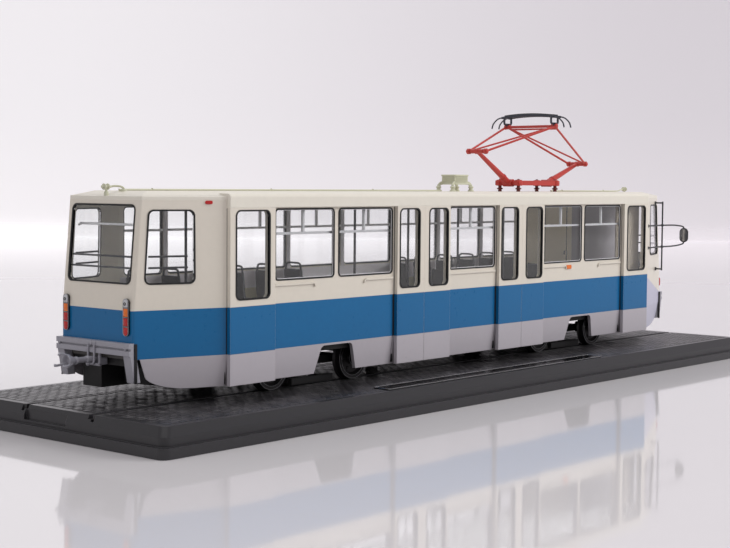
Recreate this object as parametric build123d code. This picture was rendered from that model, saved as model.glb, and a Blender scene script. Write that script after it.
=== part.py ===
from build123d import *
from collections import namedtuple
import os
from math import acos, atan2, cos, degrees, hypot, radians, sin

# A display model of a four axle tram at about 1:43, standing on a black plinth
# with its rails let in. Millimetres, +X is the front, +Z up. The origin is the
# middle of the plinth's underside. Heights named "rise" are above the rail top.

# Plinth
plinth_length = 382.0
plinth_width = 105.0
plinth_height = 9.9
plinth_flange_height = 3.6
plinth_flange_reach = 3.5
plinth_ledge = 1.7
plinth_chamfer_height = 3.3
plinth_corner = 3.0
plinth_hollow_depth = 5.5
plinth_hollow_wall = 5.0
recess_width = 22.5
recess_height = 3.8
recess_depth = 1.2
recess_offset = 5.7
nameplate_length = 148.0
nameplate_width = 8.0
nameplate_thickness = 0.5
nameplate_place = -6.0
nameplate_edge_gap = 1.2
nameplate_corner = 1.0

# Track
gauge = 35.4
rail_head = 1.6
rail_depth = 2.2
flangeway = 1.7
flangeway_depth = 1.5
fit_gap = 0.05
running_gap = 0.15
cut_over = 1.0

# Body outline
corner_x = 141.7
end_x = 174.9
body_half_width = 29.3
end_half_width = 18.8
wall = 1.5
skirt_rise = 5.7
belt_low_rise = 16.7
belt_high_rise = 33.0
wall_top_rise = 70.0
end_lean = 3.4
skirt_lean = 1.2
skirt_end_round = 5.0
skirt_end_drop = 0.7
edge_round = 1.0
paint_drop_rise = 22.2

# Roof
roof_edge_rise = 71.2
roof_crown_rise = 73.0
roof_crown_inset = 7.0
fascia_low_rise = 67.4
fascia_high_rise = 72.3
fascia_proud = 1.6
fascia_round = 1.4
ceiling_depth = 1.6

# Doors and windows
single_door = 22.3
double_door = 33.9
window_width = 31.9
window_low_rise = 41.1
window_high_rise = 67.0
window_round = 1.8
pillar = 2.1
door_window_low_rise = 35.2
door_window_high_rise = 66.6
door_window_round = 2.2
single_door_margin = 2.6
leaf_outer_margin = 1.3
leaf_inner_margin = 2.8
leaf_split = 0.5
end_window_half = 16.7
end_window_low_rise = 41.6
end_window_high_rise = 68.6
end_window_round = 2.2
facet_window_start = 2.8
facet_window_width = 18.9
facet_window_high_rise = 66.8
facet_window_lean = 1.8
seal_width = 0.55
seal_proud = 0.2
pane_thickness = 1.0
pane_inset = 0.3
sash_rise = 57.5
sash_bar = 0.9
guard_low_rise = 47.2
guard_high_rise = 51.0
guard_radius = 0.35
guide_rise = 40.0
guide_height = 0.8
guide_proud = 0.6
left_pillar_start = -119.4
left_pitch = 33.8
left_full_windows = 7
left_end_margin = 2.6

# Wheel arches
arch_x = 84.3
arch_low_width = 27.0
arch_high_width = 17.0
arch_rise = 15.9
arch_round = 2.2

# Underframe and saloon
frame_low_rise = 13.6
frame_high_rise = 16.2
frame_clear = 0.4
floor_rise = 19.5
equipment_low_rise = 6.2
post_x = 30.0
post_radius = 2.6

# Seats
seat_width = 9.5
seat_depth = 9.0
seat_rise = 11.0
seat_cushion = 1.8
seat_back_height = 10.3
seat_back_thickness = 1.4
seat_leg_radius = 1.0
handle_radius = 0.45
handle_rise = 2.9
seat_wall_gap = 1.2
seat_pitch = 16.7
left_rear_seat_x = -134.5
left_front_seat_x = 17.5
right_rear_seat_x = -104.0
right_middle_seat_x = -8.0
right_front_seat_x = 62.0
left_row_count = 6
right_row_count = 3
right_pair_count = 2

# Poles, cab
pole_radius = 0.5
pole_y = 8.2
cab_wall_x = 119.0
cab_wall_thickness = 1.0
cab_side_y = 8.0
cab_side_end_x = 152.0
driver_y = 8.5
console_depth = 14.0
console_height = 18.0
console_width = 30.0

# Bumper and coupler
bumper_high_rise = 22.2
bumper_beam = 4.2
bumper_proud = 2.2
bumper_half_width = 19.3
bumper_leg = 3.6
bumper_leg_lean = 1.7
bumper_low_rise = 8.8
coupler_rise = 15.8
coupler_length = 16.6
coupler_bar_radius = 1.0
coupler_head_radius = 2.3
coupler_head_length = 4.0
coupler_claw_length = 3.4
coupler_claw_radius = 0.5
coupler_claw_splay = 0.8
hanger_radius = 0.5
hanger_half = 2.6
hanger_knob = 1.0

# Lamps
lamp_y = 15.9
lamp_width = 2.8
lamp_round = 1.3
lamp_low_rise = 24.5
lamp_high_rise = 37.1
lamp_bezel = 0.7
lens_proud = 0.5
marker_share = 0.81
marker_rise = 69.2
marker_length = 2.7
marker_height = 1.2
side_lamp_x = 73.4
side_lamp_rise = 39.0
headlamp_rise = 28.0
nose_lamp_low_rise = 26.5
nose_lamp_high_rise = 30.0
headlamp_y = 10.5
headlamp_radius = 3.0
headlamp_face_radius = 2.55

# Mirrors
mirror_x = 187.0
mirror_inset = 3.3
mirror_y = body_half_width - mirror_inset
mirror_rise = 51.0
mirror_width = 5.0
mirror_height = 7.4
mirror_depth = 1.4
mirror_arm_radius = 0.4
mirror_foot_x = 146.5
mirror_post_x = 165.0
mirror_post_inset = 3.7
mirror_post_y = body_half_width - mirror_post_inset
mirror_post_low_rise = 33.6
mirror_post_high_rise = 68.4
mirror_arm_spread = 5.4
mirror_tip_spread = 3.2
mirror_knob_radius = 0.52
mirror_pad = 0.5

# Roof gear
box_x = 26.0
box_y = 0.0
box_length = 10.0
box_width = 8.0
box_height = 4.0
box_stand = 3.4
box_foot_reach = 2.6
box_leg_share = 0.35
cable_radius = 0.35
cable_rear_x = 165.0
cable_front_x = 162.2
cable_box_gap = 2.2
insulator_disc = 1.5
insulator_height = 2.6
low_disc_share = 0.45
high_disc_share = 0.8
lead_share = 0.7
insulator_x = 170.0
lead_radius = 0.4
lead_foot_x = 164.5
lead_foot_y = 2.0
lead_foot_radius = 1.1
lead_foot_height = 0.5

# Pantograph
panto_x = 82.8
pivot_half = 15.7
lower_arm = 28.4
upper_arm = 44.0
rear_lift = 29.6
front_lift = 19.7
pivot_rise = 77.0
base_half_length = 17.4
base_half_width = 5.2
base_tube = 1.1
pivot_radius = 0.8
boss_radius = 1.7
boss_length = 5.0
lower_root_radius = 1.5
lower_tip_radius = 0.85
knuckle_half = 5.3
knuckle_radius = 0.7
sleeve_inset = 1.95
sleeve_radius = 0.98
lug_radius = 1.25
lug_length = 1.3
upper_tube = 0.5
diagonal_tube = 0.4
head_half = 14.2
head_tube = 0.65
hook_gap = 0.9
hook_tie_distance = 1.95
bracket_length = 6.4
bracket_height = 5.4
bracket_bar = 0.5
strip_radius = 0.6
strip_half = 16.5
strip_bow = 0.9
horn_radius = 0.4
horn_inner = 3.0
horn_reach = 6.2
horn_drop = 5.2
insulator_radius = 1.5
insulator_stem_radius = 0.9

# Bogies
bogie_x = 87.0
axle_spacing = 45.1
wheel_radius = 8.15
wheel_flange = 0.65
wheel_tread = 2.2
wheel_flange_width = 0.9
wheel_rim = 1.5
wheel_web = 1.0
hub_radius = 2.4
well_gap = 0.8
axle_radius = 1.1
bogie_beam_y = 12.9
bogie_beam_width = 2.4
bogie_beam_height = 3.0
axle_box = 5.0
bolster_width = 9.0
bolster_height = 3.4
spring_radius = 1.0
brake_half = 11.5
brake_height = 2.4
brake_width = 2.0
brake_rise = 0.8
brake_hanger = 0.6
brake_hanger_x = 6.3

# Worked out places
rail_y = gauge / 2
facet_run = end_x - corner_x
facet_drop = body_half_width - end_half_width
facet_length = hypot(facet_run, facet_drop)
facet_angle = degrees(atan2(facet_drop, facet_run))
end_slope = end_lean / (wall_top_rise - belt_high_rise)
lean_angle = degrees(atan2(end_lean, wall_top_rise - belt_high_rise))
outer_y = body_half_width + fascia_proud
far = 2 * end_x

os.makedirs("parts", exist_ok=True)
LOW = (Align.CENTER, Align.CENTER, Align.MIN)


def save(node, shape, lift=plinth_height):
    """Write one node, raised from the rail top to its place above the plinth's foot."""
    export_step(Pos(0, 0, lift) * shape, "parts/" + node + ".step")


def block(x0, x1, y0, y1, z0, z1):
    """A box between two corners."""
    centre = Pos((x0 + x1) / 2, (y0 + y1) / 2, (z0 + z1) / 2)
    return centre * Box(abs(x1 - x0), abs(y1 - y0), abs(z1 - z0))


def rod(start, end, radius, end_radius=None):
    """A round bar from point to point, tapered when a second radius is given."""
    start, end = Vector(start), Vector(end)
    run = end - start
    place = Plane(origin=start, z_dir=run)
    if end_radius is None:
        return place * Cylinder(radius, run.length, align=LOW)
    return place * Cone(radius, end_radius, run.length, align=LOW)


def joined(pieces):
    """One shape from pieces that touch."""
    whole = pieces[0]
    for piece in pieces[1:]:
        whole = whole + piece
    return whole


def grouped(pieces):
    """Separate solids that share a node."""
    solids = []
    for piece in pieces:
        solids.extend(piece.solids())
    return Compound(solids)


def both_sides(piece):
    """The piece and its mirror image across the tram's middle plane."""
    return [piece, mirror(piece, about=Plane.XZ)]


def both_ends(piece):
    """The piece and its mirror image across the tram's cross plane."""
    return [piece, mirror(piece, about=Plane.YZ)]


def end_back(rise):
    """How far the leaning end has moved back at a height."""
    return end_slope * max(0, rise - belt_high_rise)


def outline(inset=0.0, rise=0.0):
    """The body's plan at a height, eight sided, drawn in by the inset."""
    quarter = [(corner_x, body_half_width), (end_x - end_back(rise), end_half_width)]
    right = [(x, -y) for x, y in reversed(quarter)]
    ring = quarter + right + [(-x, y) for x, y in reversed(right)] + [(-x, y) for x, y in reversed(quarter)]
    plan = Polygon(*reversed(ring), align=None)
    if inset:
        plan = offset(plan, amount=-inset, kind=Kind.INTERSECTION)
    return plan


def prism(inset, low, high, rounded=0.0):
    """The body's outline carried from one height to another, with its ends leaning above the belt."""
    foot = min(high, belt_high_rise)
    start = max(low, belt_high_rise)
    pieces = []
    if low < foot:
        pieces.append(extrude(Pos(0, 0, low) * outline(inset), amount=foot - low))
    if start < high:
        plans = [Pos(0, 0, rise) * outline(inset, rise) for rise in (start, high)]
        pieces.append(loft(plans, ruled=True))
    solid = joined(pieces)
    if rounded:
        upright = solid.edges().filter_by(lambda edge: abs(edge.tangent_at(0.5).Z) > 0.9)
        solid = fillet(upright, rounded)
    return solid


def side_frame(x, rise, y):
    """A plane on a side wall that looks out to the right, at -Y, or left at +Y."""
    return Plane(origin=(x, y, rise), x_dir=(1, 0, 0), z_dir=(0, 1 if y > 0 else -1, 0))


def end_frame(y, rise, sign):
    """A plane on a leaning end face that looks out of the tram, forward or back."""
    x = end_x - end_back(rise)
    tilt = radians(lean_angle)
    return Plane(origin=(sign * x, y, rise), x_dir=(0, sign, 0), z_dir=(sign * cos(tilt), 0, sin(tilt)))


def facet_frame(along, rise, sign, side):
    """A plane that touches one of the four slanting corner facets, measured from the end face."""
    share = along / facet_length
    back = end_back(rise)
    run = Vector(-sign * (facet_run - back), side * facet_drop, 0)
    climb = Vector(-sign * (end_slope * (1 - share) if rise > belt_high_rise else 0), 0, 1)
    turn = sign * side
    x = end_x - back - (facet_run - back) * share
    y = end_half_width + facet_drop * share
    return Plane(origin=(sign * x, side * y, rise), x_dir=run * turn, z_dir=run.cross(climb) * turn)


# An opening in a wall. A lean moves the top corner next to the end face along
Opening = namedtuple("Opening", "frame width height corner lean", defaults=[0.0])


def shaped(opening, inset=0.0):
    """The opening's outline, drawn in by the inset."""
    half_x = opening.width / 2 - inset
    half_y = opening.height / 2 - inset
    top_left = max(opening.lean, 0) - half_x
    top_right = min(opening.lean, 0) + half_x
    ring = Polygon((-half_x, -half_y), (half_x, -half_y), (top_right, half_y), (top_left, half_y), align=None)
    return fillet(ring.vertices(), opening.corner - inset)


def hole(opening, depth=wall):
    """A rounded opening cut through a wall."""
    return extrude(opening.frame * shaped(opening), amount=depth + cut_over, both=True)


def pane(opening):
    """A window pane inside its seal, a little behind the wall's face."""
    return extrude(opening.frame.offset(-pane_inset) * shaped(opening, seal_width), amount=-pane_thickness)


def seal(opening):
    """The black rubber round a pane."""
    ring = shaped(opening) - shaped(opening, seal_width)
    depth = seal_proud + pane_inset + pane_thickness
    return extrude(opening.frame.offset(seal_proud) * ring, amount=-depth)


# Bays of the right side, from the rear, each with its start and width
jamb_total = 2 * corner_x - 2 * single_door - 2 * double_door - 5 * window_width - 2 * pillar
jamb = jamb_total / 6
bay_plan = [
    ("door", single_door, jamb),
    ("window", window_width, pillar),
    ("window", window_width, jamb),
    ("pair", double_door, jamb),
    ("window", window_width, jamb),
    ("pair", double_door, jamb),
    ("window", window_width, pillar),
    ("window", window_width, jamb),
    ("door", single_door, 0),
]
bays = []
place = -corner_x
for kind, width, gap in bay_plan:
    bays.append((kind, place, width))
    place += width + gap

# Openings of each wall
window_height = window_high_rise - window_low_rise
window_mid = (window_high_rise + window_low_rise) / 2
door_window_height = door_window_high_rise - door_window_low_rise
door_window_mid = (door_window_high_rise + door_window_low_rise) / 2
end_window_height = end_window_high_rise - end_window_low_rise
end_window_mid = (end_window_high_rise + end_window_low_rise) / 2
facet_window_height = facet_window_high_rise - end_window_low_rise
facet_window_mid = (facet_window_high_rise + end_window_low_rise) / 2

right_windows = []
door_windows = {}
door_spans = {}
door_names = iter(["door_rear", "door_middle_rear", "door_middle_front", "door_front"])
for kind, start, width in bays:
    if kind == "window":
        frame = side_frame(start + width / 2, window_mid, -body_half_width)
        right_windows.append(Opening(frame, width, window_height, window_round))
        continue
    name = next(door_names)
    door_spans[name] = (start, width)
    if kind == "door":
        leaf = width - 2 * single_door_margin
        centres = [start + width / 2]
    else:
        leaf = width / 2 - leaf_outer_margin - leaf_inner_margin
        reach = leaf_inner_margin + leaf / 2
        centres = [start + width / 2 - reach, start + width / 2 + reach]
    door_windows[name] = [
        Opening(side_frame(x, door_window_mid, -outer_y), leaf, door_window_height, door_window_round)
        for x in centres
    ]

left_windows = []
left_edges = [left_pillar_start + left_pitch * index for index in range(left_full_windows + 1)]
left_spans = [(-corner_x + left_end_margin, left_edges[0] - pillar / 2)]
left_spans += [(a + pillar / 2, b - pillar / 2) for a, b in zip(left_edges, left_edges[1:])]
left_spans += [(left_edges[-1] + pillar / 2, corner_x - left_end_margin)]
for start, end in left_spans:
    frame = side_frame((start + end) / 2, window_mid, body_half_width)
    left_windows.append(Opening(frame, end - start, window_height, window_round))

end_windows = []
for sign in (-1, 1):
    frame = end_frame(0, end_window_mid, sign)
    end_windows.append(Opening(frame, 2 * end_window_half, end_window_height, end_window_round))
    for side in (-1, 1):
        frame = facet_frame(facet_window_start + facet_window_width / 2, facet_window_mid, sign, side)
        lean = sign * side * facet_window_lean
        end_windows.append(Opening(frame, facet_window_width, facet_window_height, end_window_round, lean))


def make_plinth():
    """The plinth: flange, chamfered body, paved top, rail slots, rear recess, hollow foot."""
    half_x = plinth_length / 2
    half_y = plinth_width / 2
    ledge_x = plinth_length + 2 * plinth_ledge
    ledge_y = plinth_width + 2 * plinth_ledge
    flange_x = plinth_length + 2 * plinth_flange_reach
    flange_y = plinth_width + 2 * plinth_flange_reach
    chamfer_z = plinth_height - plinth_chamfer_height
    foot = extrude(RectangleRounded(flange_x, flange_y, plinth_corner), amount=plinth_flange_height)
    body = extrude(RectangleRounded(ledge_x, ledge_y, plinth_corner), amount=chamfer_z)
    cap = loft([
        Pos(0, 0, chamfer_z) * RectangleRounded(ledge_x, ledge_y, plinth_corner),
        Pos(0, 0, plinth_height) * RectangleRounded(plinth_length, plinth_width, plinth_corner),
    ])
    solid = foot + body + cap
    hollow_x = plinth_length - 2 * plinth_hollow_wall
    hollow_y = plinth_width - 2 * plinth_hollow_wall
    solid = solid - extrude(RectangleRounded(hollow_x, hollow_y, plinth_corner), amount=plinth_hollow_depth)
    for x in (-post_x, post_x):
        solid = solid + Pos(x, 0, plinth_flange_height) * Cylinder(
            post_radius * 2, plinth_hollow_depth - plinth_flange_height + fit_gap, align=LOW)
    for side in (-1, 1):
        top = plinth_height
        inner = side * (rail_y - flangeway)
        outer = side * (rail_y + rail_head)
        solid = solid - block(-far, far, side * rail_y, outer, top - rail_depth, top + cut_over)
        solid = solid - block(-far, far, inner, side * rail_y, top - flangeway_depth, top + cut_over)
    back = -half_x - plinth_ledge
    low = plinth_flange_height + (plinth_height - plinth_flange_height - recess_height) / 2
    solid = solid - block(
        back - cut_over, back + recess_depth, recess_offset - recess_width / 2,
        recess_offset + recess_width / 2, low, low + recess_height)
    return solid


def make_rails():
    """Two steel rails let into the plinth, flush with its top."""
    rail = block(-plinth_length / 2, plinth_length / 2, rail_y, rail_y + rail_head, -rail_depth, 0)
    return grouped(both_sides(rail))


def make_nameplate():
    """The blank plate that lies along the plinth's near edge."""
    y = -plinth_width / 2 + nameplate_edge_gap + nameplate_width / 2
    plate = Pos(nameplate_place, y, 0) * RectangleRounded(nameplate_length, nameplate_width, nameplate_corner)
    return extrude(plate, amount=nameplate_thickness)


def make_posts():
    """Two screw posts that hold the underframe down on the plinth."""
    posts = [Pos(x, 0, 0) * Cylinder(post_radius, frame_low_rise, align=LOW) for x in (-post_x, post_x)]
    return grouped(posts)


def paint_wedge():
    """The cream nose above the slanting edge of the blue paint at the front."""
    profile = Polygon(
        (corner_x, belt_high_rise), (end_x, paint_drop_rise), (far, paint_drop_rise), (far, far),
        (corner_x, far), align=None)
    return extrude(Plane.XZ * profile, amount=far, both=True)


def make_walls():
    """The moulded body between skirt and roof, parted at its panel edges."""
    shell = prism(0, belt_low_rise, wall_top_rise, edge_round) - prism(wall, belt_low_rise, wall_top_rise)
    for window in right_windows + left_windows + end_windows:
        shell = shell - hole(window)
    for windows in door_windows.values():
        for window in windows:
            shell = shell - hole(window, outer_y - body_half_width + wall)
    for sign in (-1, 1):
        x0, x1 = sorted((sign * corner_x, sign * far))
        shell = shell - block(x0, x1, -end_half_width, end_half_width, 0, bumper_high_rise)
    nose = paint_wedge()
    below = block(-far, far, -far, far, 0, belt_high_rise)
    waist = shell & below
    waist = waist - nose
    upper = shell - waist
    walls = {
        "waist_shell": waist,
        "side_wall_right": upper & block(-corner_x, corner_x, -far, 0, 0, far),
        "side_wall_left": upper & block(-corner_x, corner_x, 0, far, 0, far),
        "rear_wall": upper & block(-far, -corner_x, -far, far, 0, far),
        "front_wall": upper & block(corner_x, far, -far, far, 0, far),
    }
    return walls


def make_skirts():
    """The grey skirt, leaning in to its foot, open at the ends and over the bogies."""
    outer = loft([Pos(0, 0, skirt_rise) * outline(skirt_lean), Pos(0, 0, belt_low_rise) * outline()])
    inner = loft([
        Pos(0, 0, skirt_rise - fit_gap) * outline(skirt_lean + wall),
        Pos(0, 0, belt_low_rise + fit_gap) * outline(wall)])
    ring = outer - inner
    near = end_half_width + skirt_end_drop
    ring = ring - block(-far, far, -near, near, 0, far)
    low, high = arch_low_width / 2, arch_high_width / 2
    profile = Polygon((-low, 0), (low, 0), (high, arch_rise), (-high, arch_rise), align=None)
    profile = fillet(profile.vertices().group_by(Axis.Y)[-1], arch_round)
    for x in (-arch_x, arch_x):
        ring = ring - extrude(Plane.XZ * Pos(x, 0) * profile, amount=far, both=True)
    low_edge = skirt_rise
    inner, upper = near + skirt_end_round, low_edge + skirt_end_round
    corner = Polygon(
        (near - cut_over, low_edge - cut_over), (inner, low_edge - cut_over), (inner, low_edge),
        (near, upper), (near - cut_over, upper), align=None)
    corner = corner - Pos(inner, upper) * Circle(skirt_end_round)
    notch = extrude(Plane.YZ * corner, amount=far, both=True)
    notch = notch - block(-corner_x, corner_x, -far, far, -far, far)
    for piece in both_sides(notch):
        ring = ring - piece
    return ring


def make_roof():
    """The roof lid with its low crown, side fascias and a hollow underside."""
    rim = prism(0, wall_top_rise, roof_edge_rise, edge_round)
    low_plan = outline(0, roof_edge_rise)
    crown = loft([
        Pos(0, 0, roof_edge_rise) * low_plan,
        Pos(0, 0, roof_crown_rise) * offset(low_plan, amount=-roof_crown_inset, kind=Kind.INTERSECTION)])
    lid = rim + crown
    ceiling = prism(wall, wall_top_rise, wall_top_rise + ceiling_depth)
    lid = lid - ceiling
    for side in (-1, 1):
        inner, outer = sorted((side * body_half_width, side * outer_y))
        strip = block(-corner_x, corner_x, inner, outer, fascia_low_rise, fascia_high_rise)
        cap_inner, cap_outer = sorted((side * (body_half_width - roof_crown_inset), side * outer_y))
        shoulder = block(-corner_x, corner_x, cap_inner, cap_outer, roof_edge_rise, fascia_high_rise)
        strip = strip + shoulder
        edge = strip.edges().filter_by(Axis.X).group_by(Axis.Z)[-1].sort_by(Axis.Y)[0 if side < 0 else -1]
        lid = lid + fillet(edge, fascia_round)
    return lid


def make_door(name):
    """A door, proud of the side, with its windows and the split between two leaves."""
    start, width = door_spans[name]
    leaf = block(start, start + width, -outer_y, -body_half_width, skirt_rise, fascia_low_rise)
    for window in door_windows[name]:
        leaf = leaf - hole(window, outer_y - body_half_width)
    if width > single_door:
        middle = start + width / 2
        half = leaf_split / 2
        leaf = leaf - block(
            middle - half, middle + half, -outer_y - cut_over, -outer_y + leaf_split, 0, far)
    return leaf


def make_guides():
    """Thin rails under the side windows that guide the door leaves."""
    right = [(start, width) for kind, start, width in bays if kind == "window"]
    guide_shares = [(0.0, 0.62), (0.5, 1.0), (0.0, 1.0), (0.0, 0.55), (0.42, 1.0)]
    strips = []
    for (start, width), (from_share, to_share) in zip(right, guide_shares):
        strips.append(block(
            start + width * from_share, start + width * to_share, -body_half_width - guide_proud,
            -body_half_width, guide_rise - guide_height, guide_rise))
    return grouped(strips)


def glazing(windows):
    """The clear panes of a list of openings."""
    return grouped([pane(window) for window in windows])


def seals(windows):
    """The black rubbers of a list of openings."""
    return grouped([seal(window) for window in windows])


def make_sashes():
    """The white bars of the sliding vents, just inside the panes of both sides."""
    bars = []
    for window in right_windows + left_windows:
        x, y = window.frame.origin.X, window.frame.origin.Y
        inward = -1 if y > 0 else 1
        near = y + inward * (pane_inset + pane_thickness)
        y0, y1 = sorted((near, near + inward * sash_bar))
        half = window.width / 2 - seal_width
        bar = block(x - half, x + half, y0, y1, sash_rise, sash_rise + sash_bar)
        post = block(x - sash_bar / 2, x + sash_bar / 2, y0, y1, sash_rise, window_high_rise - seal_width)
        bars.append(bar + post)
    return grouped(bars)


def make_guard_bars():
    """Two dark rods across each end window and each facet window, inside the glass."""
    rods = []
    for window in end_windows:
        frame = window.frame
        inside = frame.offset(-(pane_inset + pane_thickness + guard_radius))
        for rise in (guard_low_rise, guard_high_rise):
            drop = rise - frame.origin.Z
            centre = inside.origin + inside.y_dir * (drop / inside.y_dir.Z)
            reach = inside.x_dir * (window.width / 2 - seal_width - abs(window.lean))
            rods.append(rod(centre - reach, centre + reach, guard_radius))
    return grouped(rods)


def make_seat(x, y, aisle, looped=True):
    """One seat that looks forward, with a leg, cushion, back and, if looped, a loop to hold on to."""
    base = floor_rise
    leg = Pos(x, y, base) * Cylinder(seat_leg_radius, seat_rise, align=LOW)
    cushion = block(
        x - seat_depth / 2, x + seat_depth / 2, y - seat_width / 2, y + seat_width / 2,
        base + seat_rise - seat_cushion, base + seat_rise)
    cushion = fillet(cushion.edges().filter_by(Axis.Z), seat_cushion / 2)
    back_x = x - seat_depth / 2
    back = block(
        back_x, back_x + seat_back_thickness, y - seat_width / 2, y + seat_width / 2,
        base + seat_rise - seat_cushion, base + seat_rise + seat_back_height)
    back = fillet(back.edges().filter_by(Axis.X).group_by(Axis.Z)[-1], seat_width / 4)
    if not looped:
        return leg + cushion + back
    top = base + seat_rise + seat_back_height
    mid = back_x + seat_back_thickness / 2
    near = y + aisle * seat_width / 6
    far_y = y + aisle * seat_width / 2
    loop_top = top + handle_rise
    corners = [
        (mid, near, top - handle_rise), (mid, near, loop_top), (mid, far_y, loop_top),
        (mid, far_y, top - handle_rise * 2)]
    tubes = [rod(a, b, handle_radius) for a, b in zip(corners, corners[1:])]
    knobs = [Pos(*corner) * Sphere(handle_radius) for corner in corners[1:3]]
    return joined([leg + cushion + back] + tubes + knobs)


def make_seats(side, rows, looped):
    """Rows of seats along one side, each row with its first place and its count."""
    y = side * (body_half_width - wall - seat_wall_gap - seat_width / 2)
    places = [first_x + seat_pitch * index for first_x, count in rows for index in range(count)]
    return grouped([make_seat(x, y, -side, looped) for x in places])


def make_poles():
    """Upright poles beside the doors, from floor to ceiling."""
    ceiling = wall_top_rise + ceiling_depth
    rods = []
    for name in ("door_rear", "door_middle_rear", "door_middle_front"):
        start, width = door_spans[name]
        for x in (start, start + width):
            rods.append(rod((x, -pole_y, floor_rise), (x, -pole_y, ceiling), pole_radius))
    return grouped(rods)


def wheel_wells():
    """The round pockets over the eight wheels."""
    radius = wheel_radius + wheel_flange + well_gap
    wells = []
    for sign in (-1, 1):
        for axle in (-1, 1):
            x = sign * bogie_x + axle * axle_spacing / 2
            inner = rail_y - wheel_flange_width - well_gap
            outer = rail_y + wheel_tread + well_gap
            for side in (-1, 1):
                wells.append(rod((x, side * inner, wheel_radius), (x, side * outer, wheel_radius), radius))
    return wells


def make_floor():
    """The saloon floor on the underframe."""
    return prism(wall + frame_clear, frame_high_rise, floor_rise) - wheel_wells()


def make_underframe():
    """The black frame plate under the floor."""
    plan = outline(wall + skirt_lean + frame_clear)
    return extrude(Pos(0, 0, frame_low_rise) * plan, amount=frame_high_rise - frame_low_rise) - wheel_wells()


def make_equipment():
    """Black boxes hung under the frame between and beyond the bogies."""
    # Shares of the corner distance for x, of the half width for y, and the low edge's rise share
    box_shares = [
        (-0.30, -0.10, -0.80, -0.15, 1.0), (-0.30, -0.06, 0.20, 0.80, 1.1),
        (0.02, 0.16, -0.80, -0.30, 1.0), (0.05, 0.30, 0.25, 0.80, 1.05),
        (0.26, 0.36, -0.75, -0.25, 1.2), (-1.14, -1.06, -0.42, 0.05, 1.0),
        (-1.20, -1.04, 0.12, 0.46, 0.8), (1.04, 1.18, -0.40, -0.10, 1.0), (1.04, 1.16, 0.10, 0.42, 1.0),
    ]
    boxes = []
    for x0, x1, y0, y1, low in box_shares:
        boxes.append(block(
            x0 * corner_x, x1 * corner_x, y0 * body_half_width, y1 * body_half_width,
            low * equipment_low_rise, frame_low_rise))
    return grouped(boxes)


def make_bumper():
    """An end bumper: a grooved beam with a leg at each side."""
    back = end_x - wall
    face = end_x + bumper_proud
    beam_low = bumper_high_rise - bumper_beam
    beam = block(back, face, -bumper_half_width, bumper_half_width, beam_low, bumper_high_rise)
    leg_face = face - bumper_proud / 4
    foot_back = back - bumper_leg_lean
    profile = Polygon(
        (foot_back, bumper_low_rise), (leg_face - bumper_leg_lean, bumper_low_rise), (leg_face, beam_low),
        (leg_face, bumper_high_rise), (back, bumper_high_rise), (back, beam_low), align=None)
    for side in (-1, 1):
        middle = side * (bumper_half_width - bumper_leg / 2)
        beam = beam + extrude(Plane.XZ.offset(-middle) * profile, amount=bumper_leg / 2, both=True)
    groove = bumper_beam / 6
    mid = bumper_high_rise - bumper_beam / 2
    cut = block(face - groove, face + cut_over, -far, far, mid - groove / 2, mid + groove / 2)
    corners = [block(0, end_x, side * end_half_width, side * far, 0, far) for side in (-1, 1)]
    return beam - cut - corners


def make_coupler():
    """A drawbar with its flared head and three claws, carried by a hanger under the bumper beam."""
    frame_end = end_x - wall - skirt_lean - frame_clear
    start = end_x - wall
    tip = end_x + coupler_length
    mouth = tip - coupler_claw_length
    head = mouth - coupler_head_length
    bar = rod((start, 0, coupler_rise), (head, 0, coupler_rise), coupler_bar_radius)
    flare = rod((head, 0, coupler_rise), (mouth, 0, coupler_rise), coupler_bar_radius, coupler_head_radius)
    pieces = [bar, flare]
    grip = coupler_head_radius - coupler_claw_radius
    reach = grip + coupler_claw_splay
    root = mouth - coupler_claw_radius
    for turn in (90, 210, 330):
        y, z = cos(radians(turn)), sin(radians(turn))
        start_point = (root, grip * y, coupler_rise + grip * z)
        tip_point = (tip, reach * y, coupler_rise + reach * z)
        pieces.append(rod(start_point, tip_point, coupler_claw_radius))
    neck = block(frame_end, start + wall, -hanger_half, hanger_half, frame_low_rise, frame_high_rise)
    beam_low = bumper_high_rise - bumper_beam
    x = end_x + bumper_proud / 2
    high = coupler_rise - coupler_bar_radius + fit_gap
    low = high - 2 * hanger_radius
    reach = hanger_half + hanger_radius
    stirrup = block(x - hanger_radius, x + hanger_radius, -reach, reach, low, beam_low)
    stirrup = stirrup - block(x - reach, x + reach, -hanger_half, hanger_half, high, far)
    knob = Pos(x, 0, low - hanger_knob / 2) * Sphere(hanger_knob)
    return joined(pieces + [neck, stirrup, knob])


def lamp_box(sign, side, low, high, grow, depth, corner=0.0):
    """A lamp piece on an end face, standing out by its depth, with its corners rounded if asked."""
    place = (sign * end_x, side * lamp_y, (low + high) / 2)
    face = Plane(origin=place, x_dir=(0, sign, 0), z_dir=(sign, 0, 0))
    sketch = Rectangle(lamp_width + 2 * grow, high - low + 2 * grow)
    if corner:
        sketch = fillet(sketch.vertices(), corner)
    return extrude(face * sketch, amount=depth)


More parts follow.
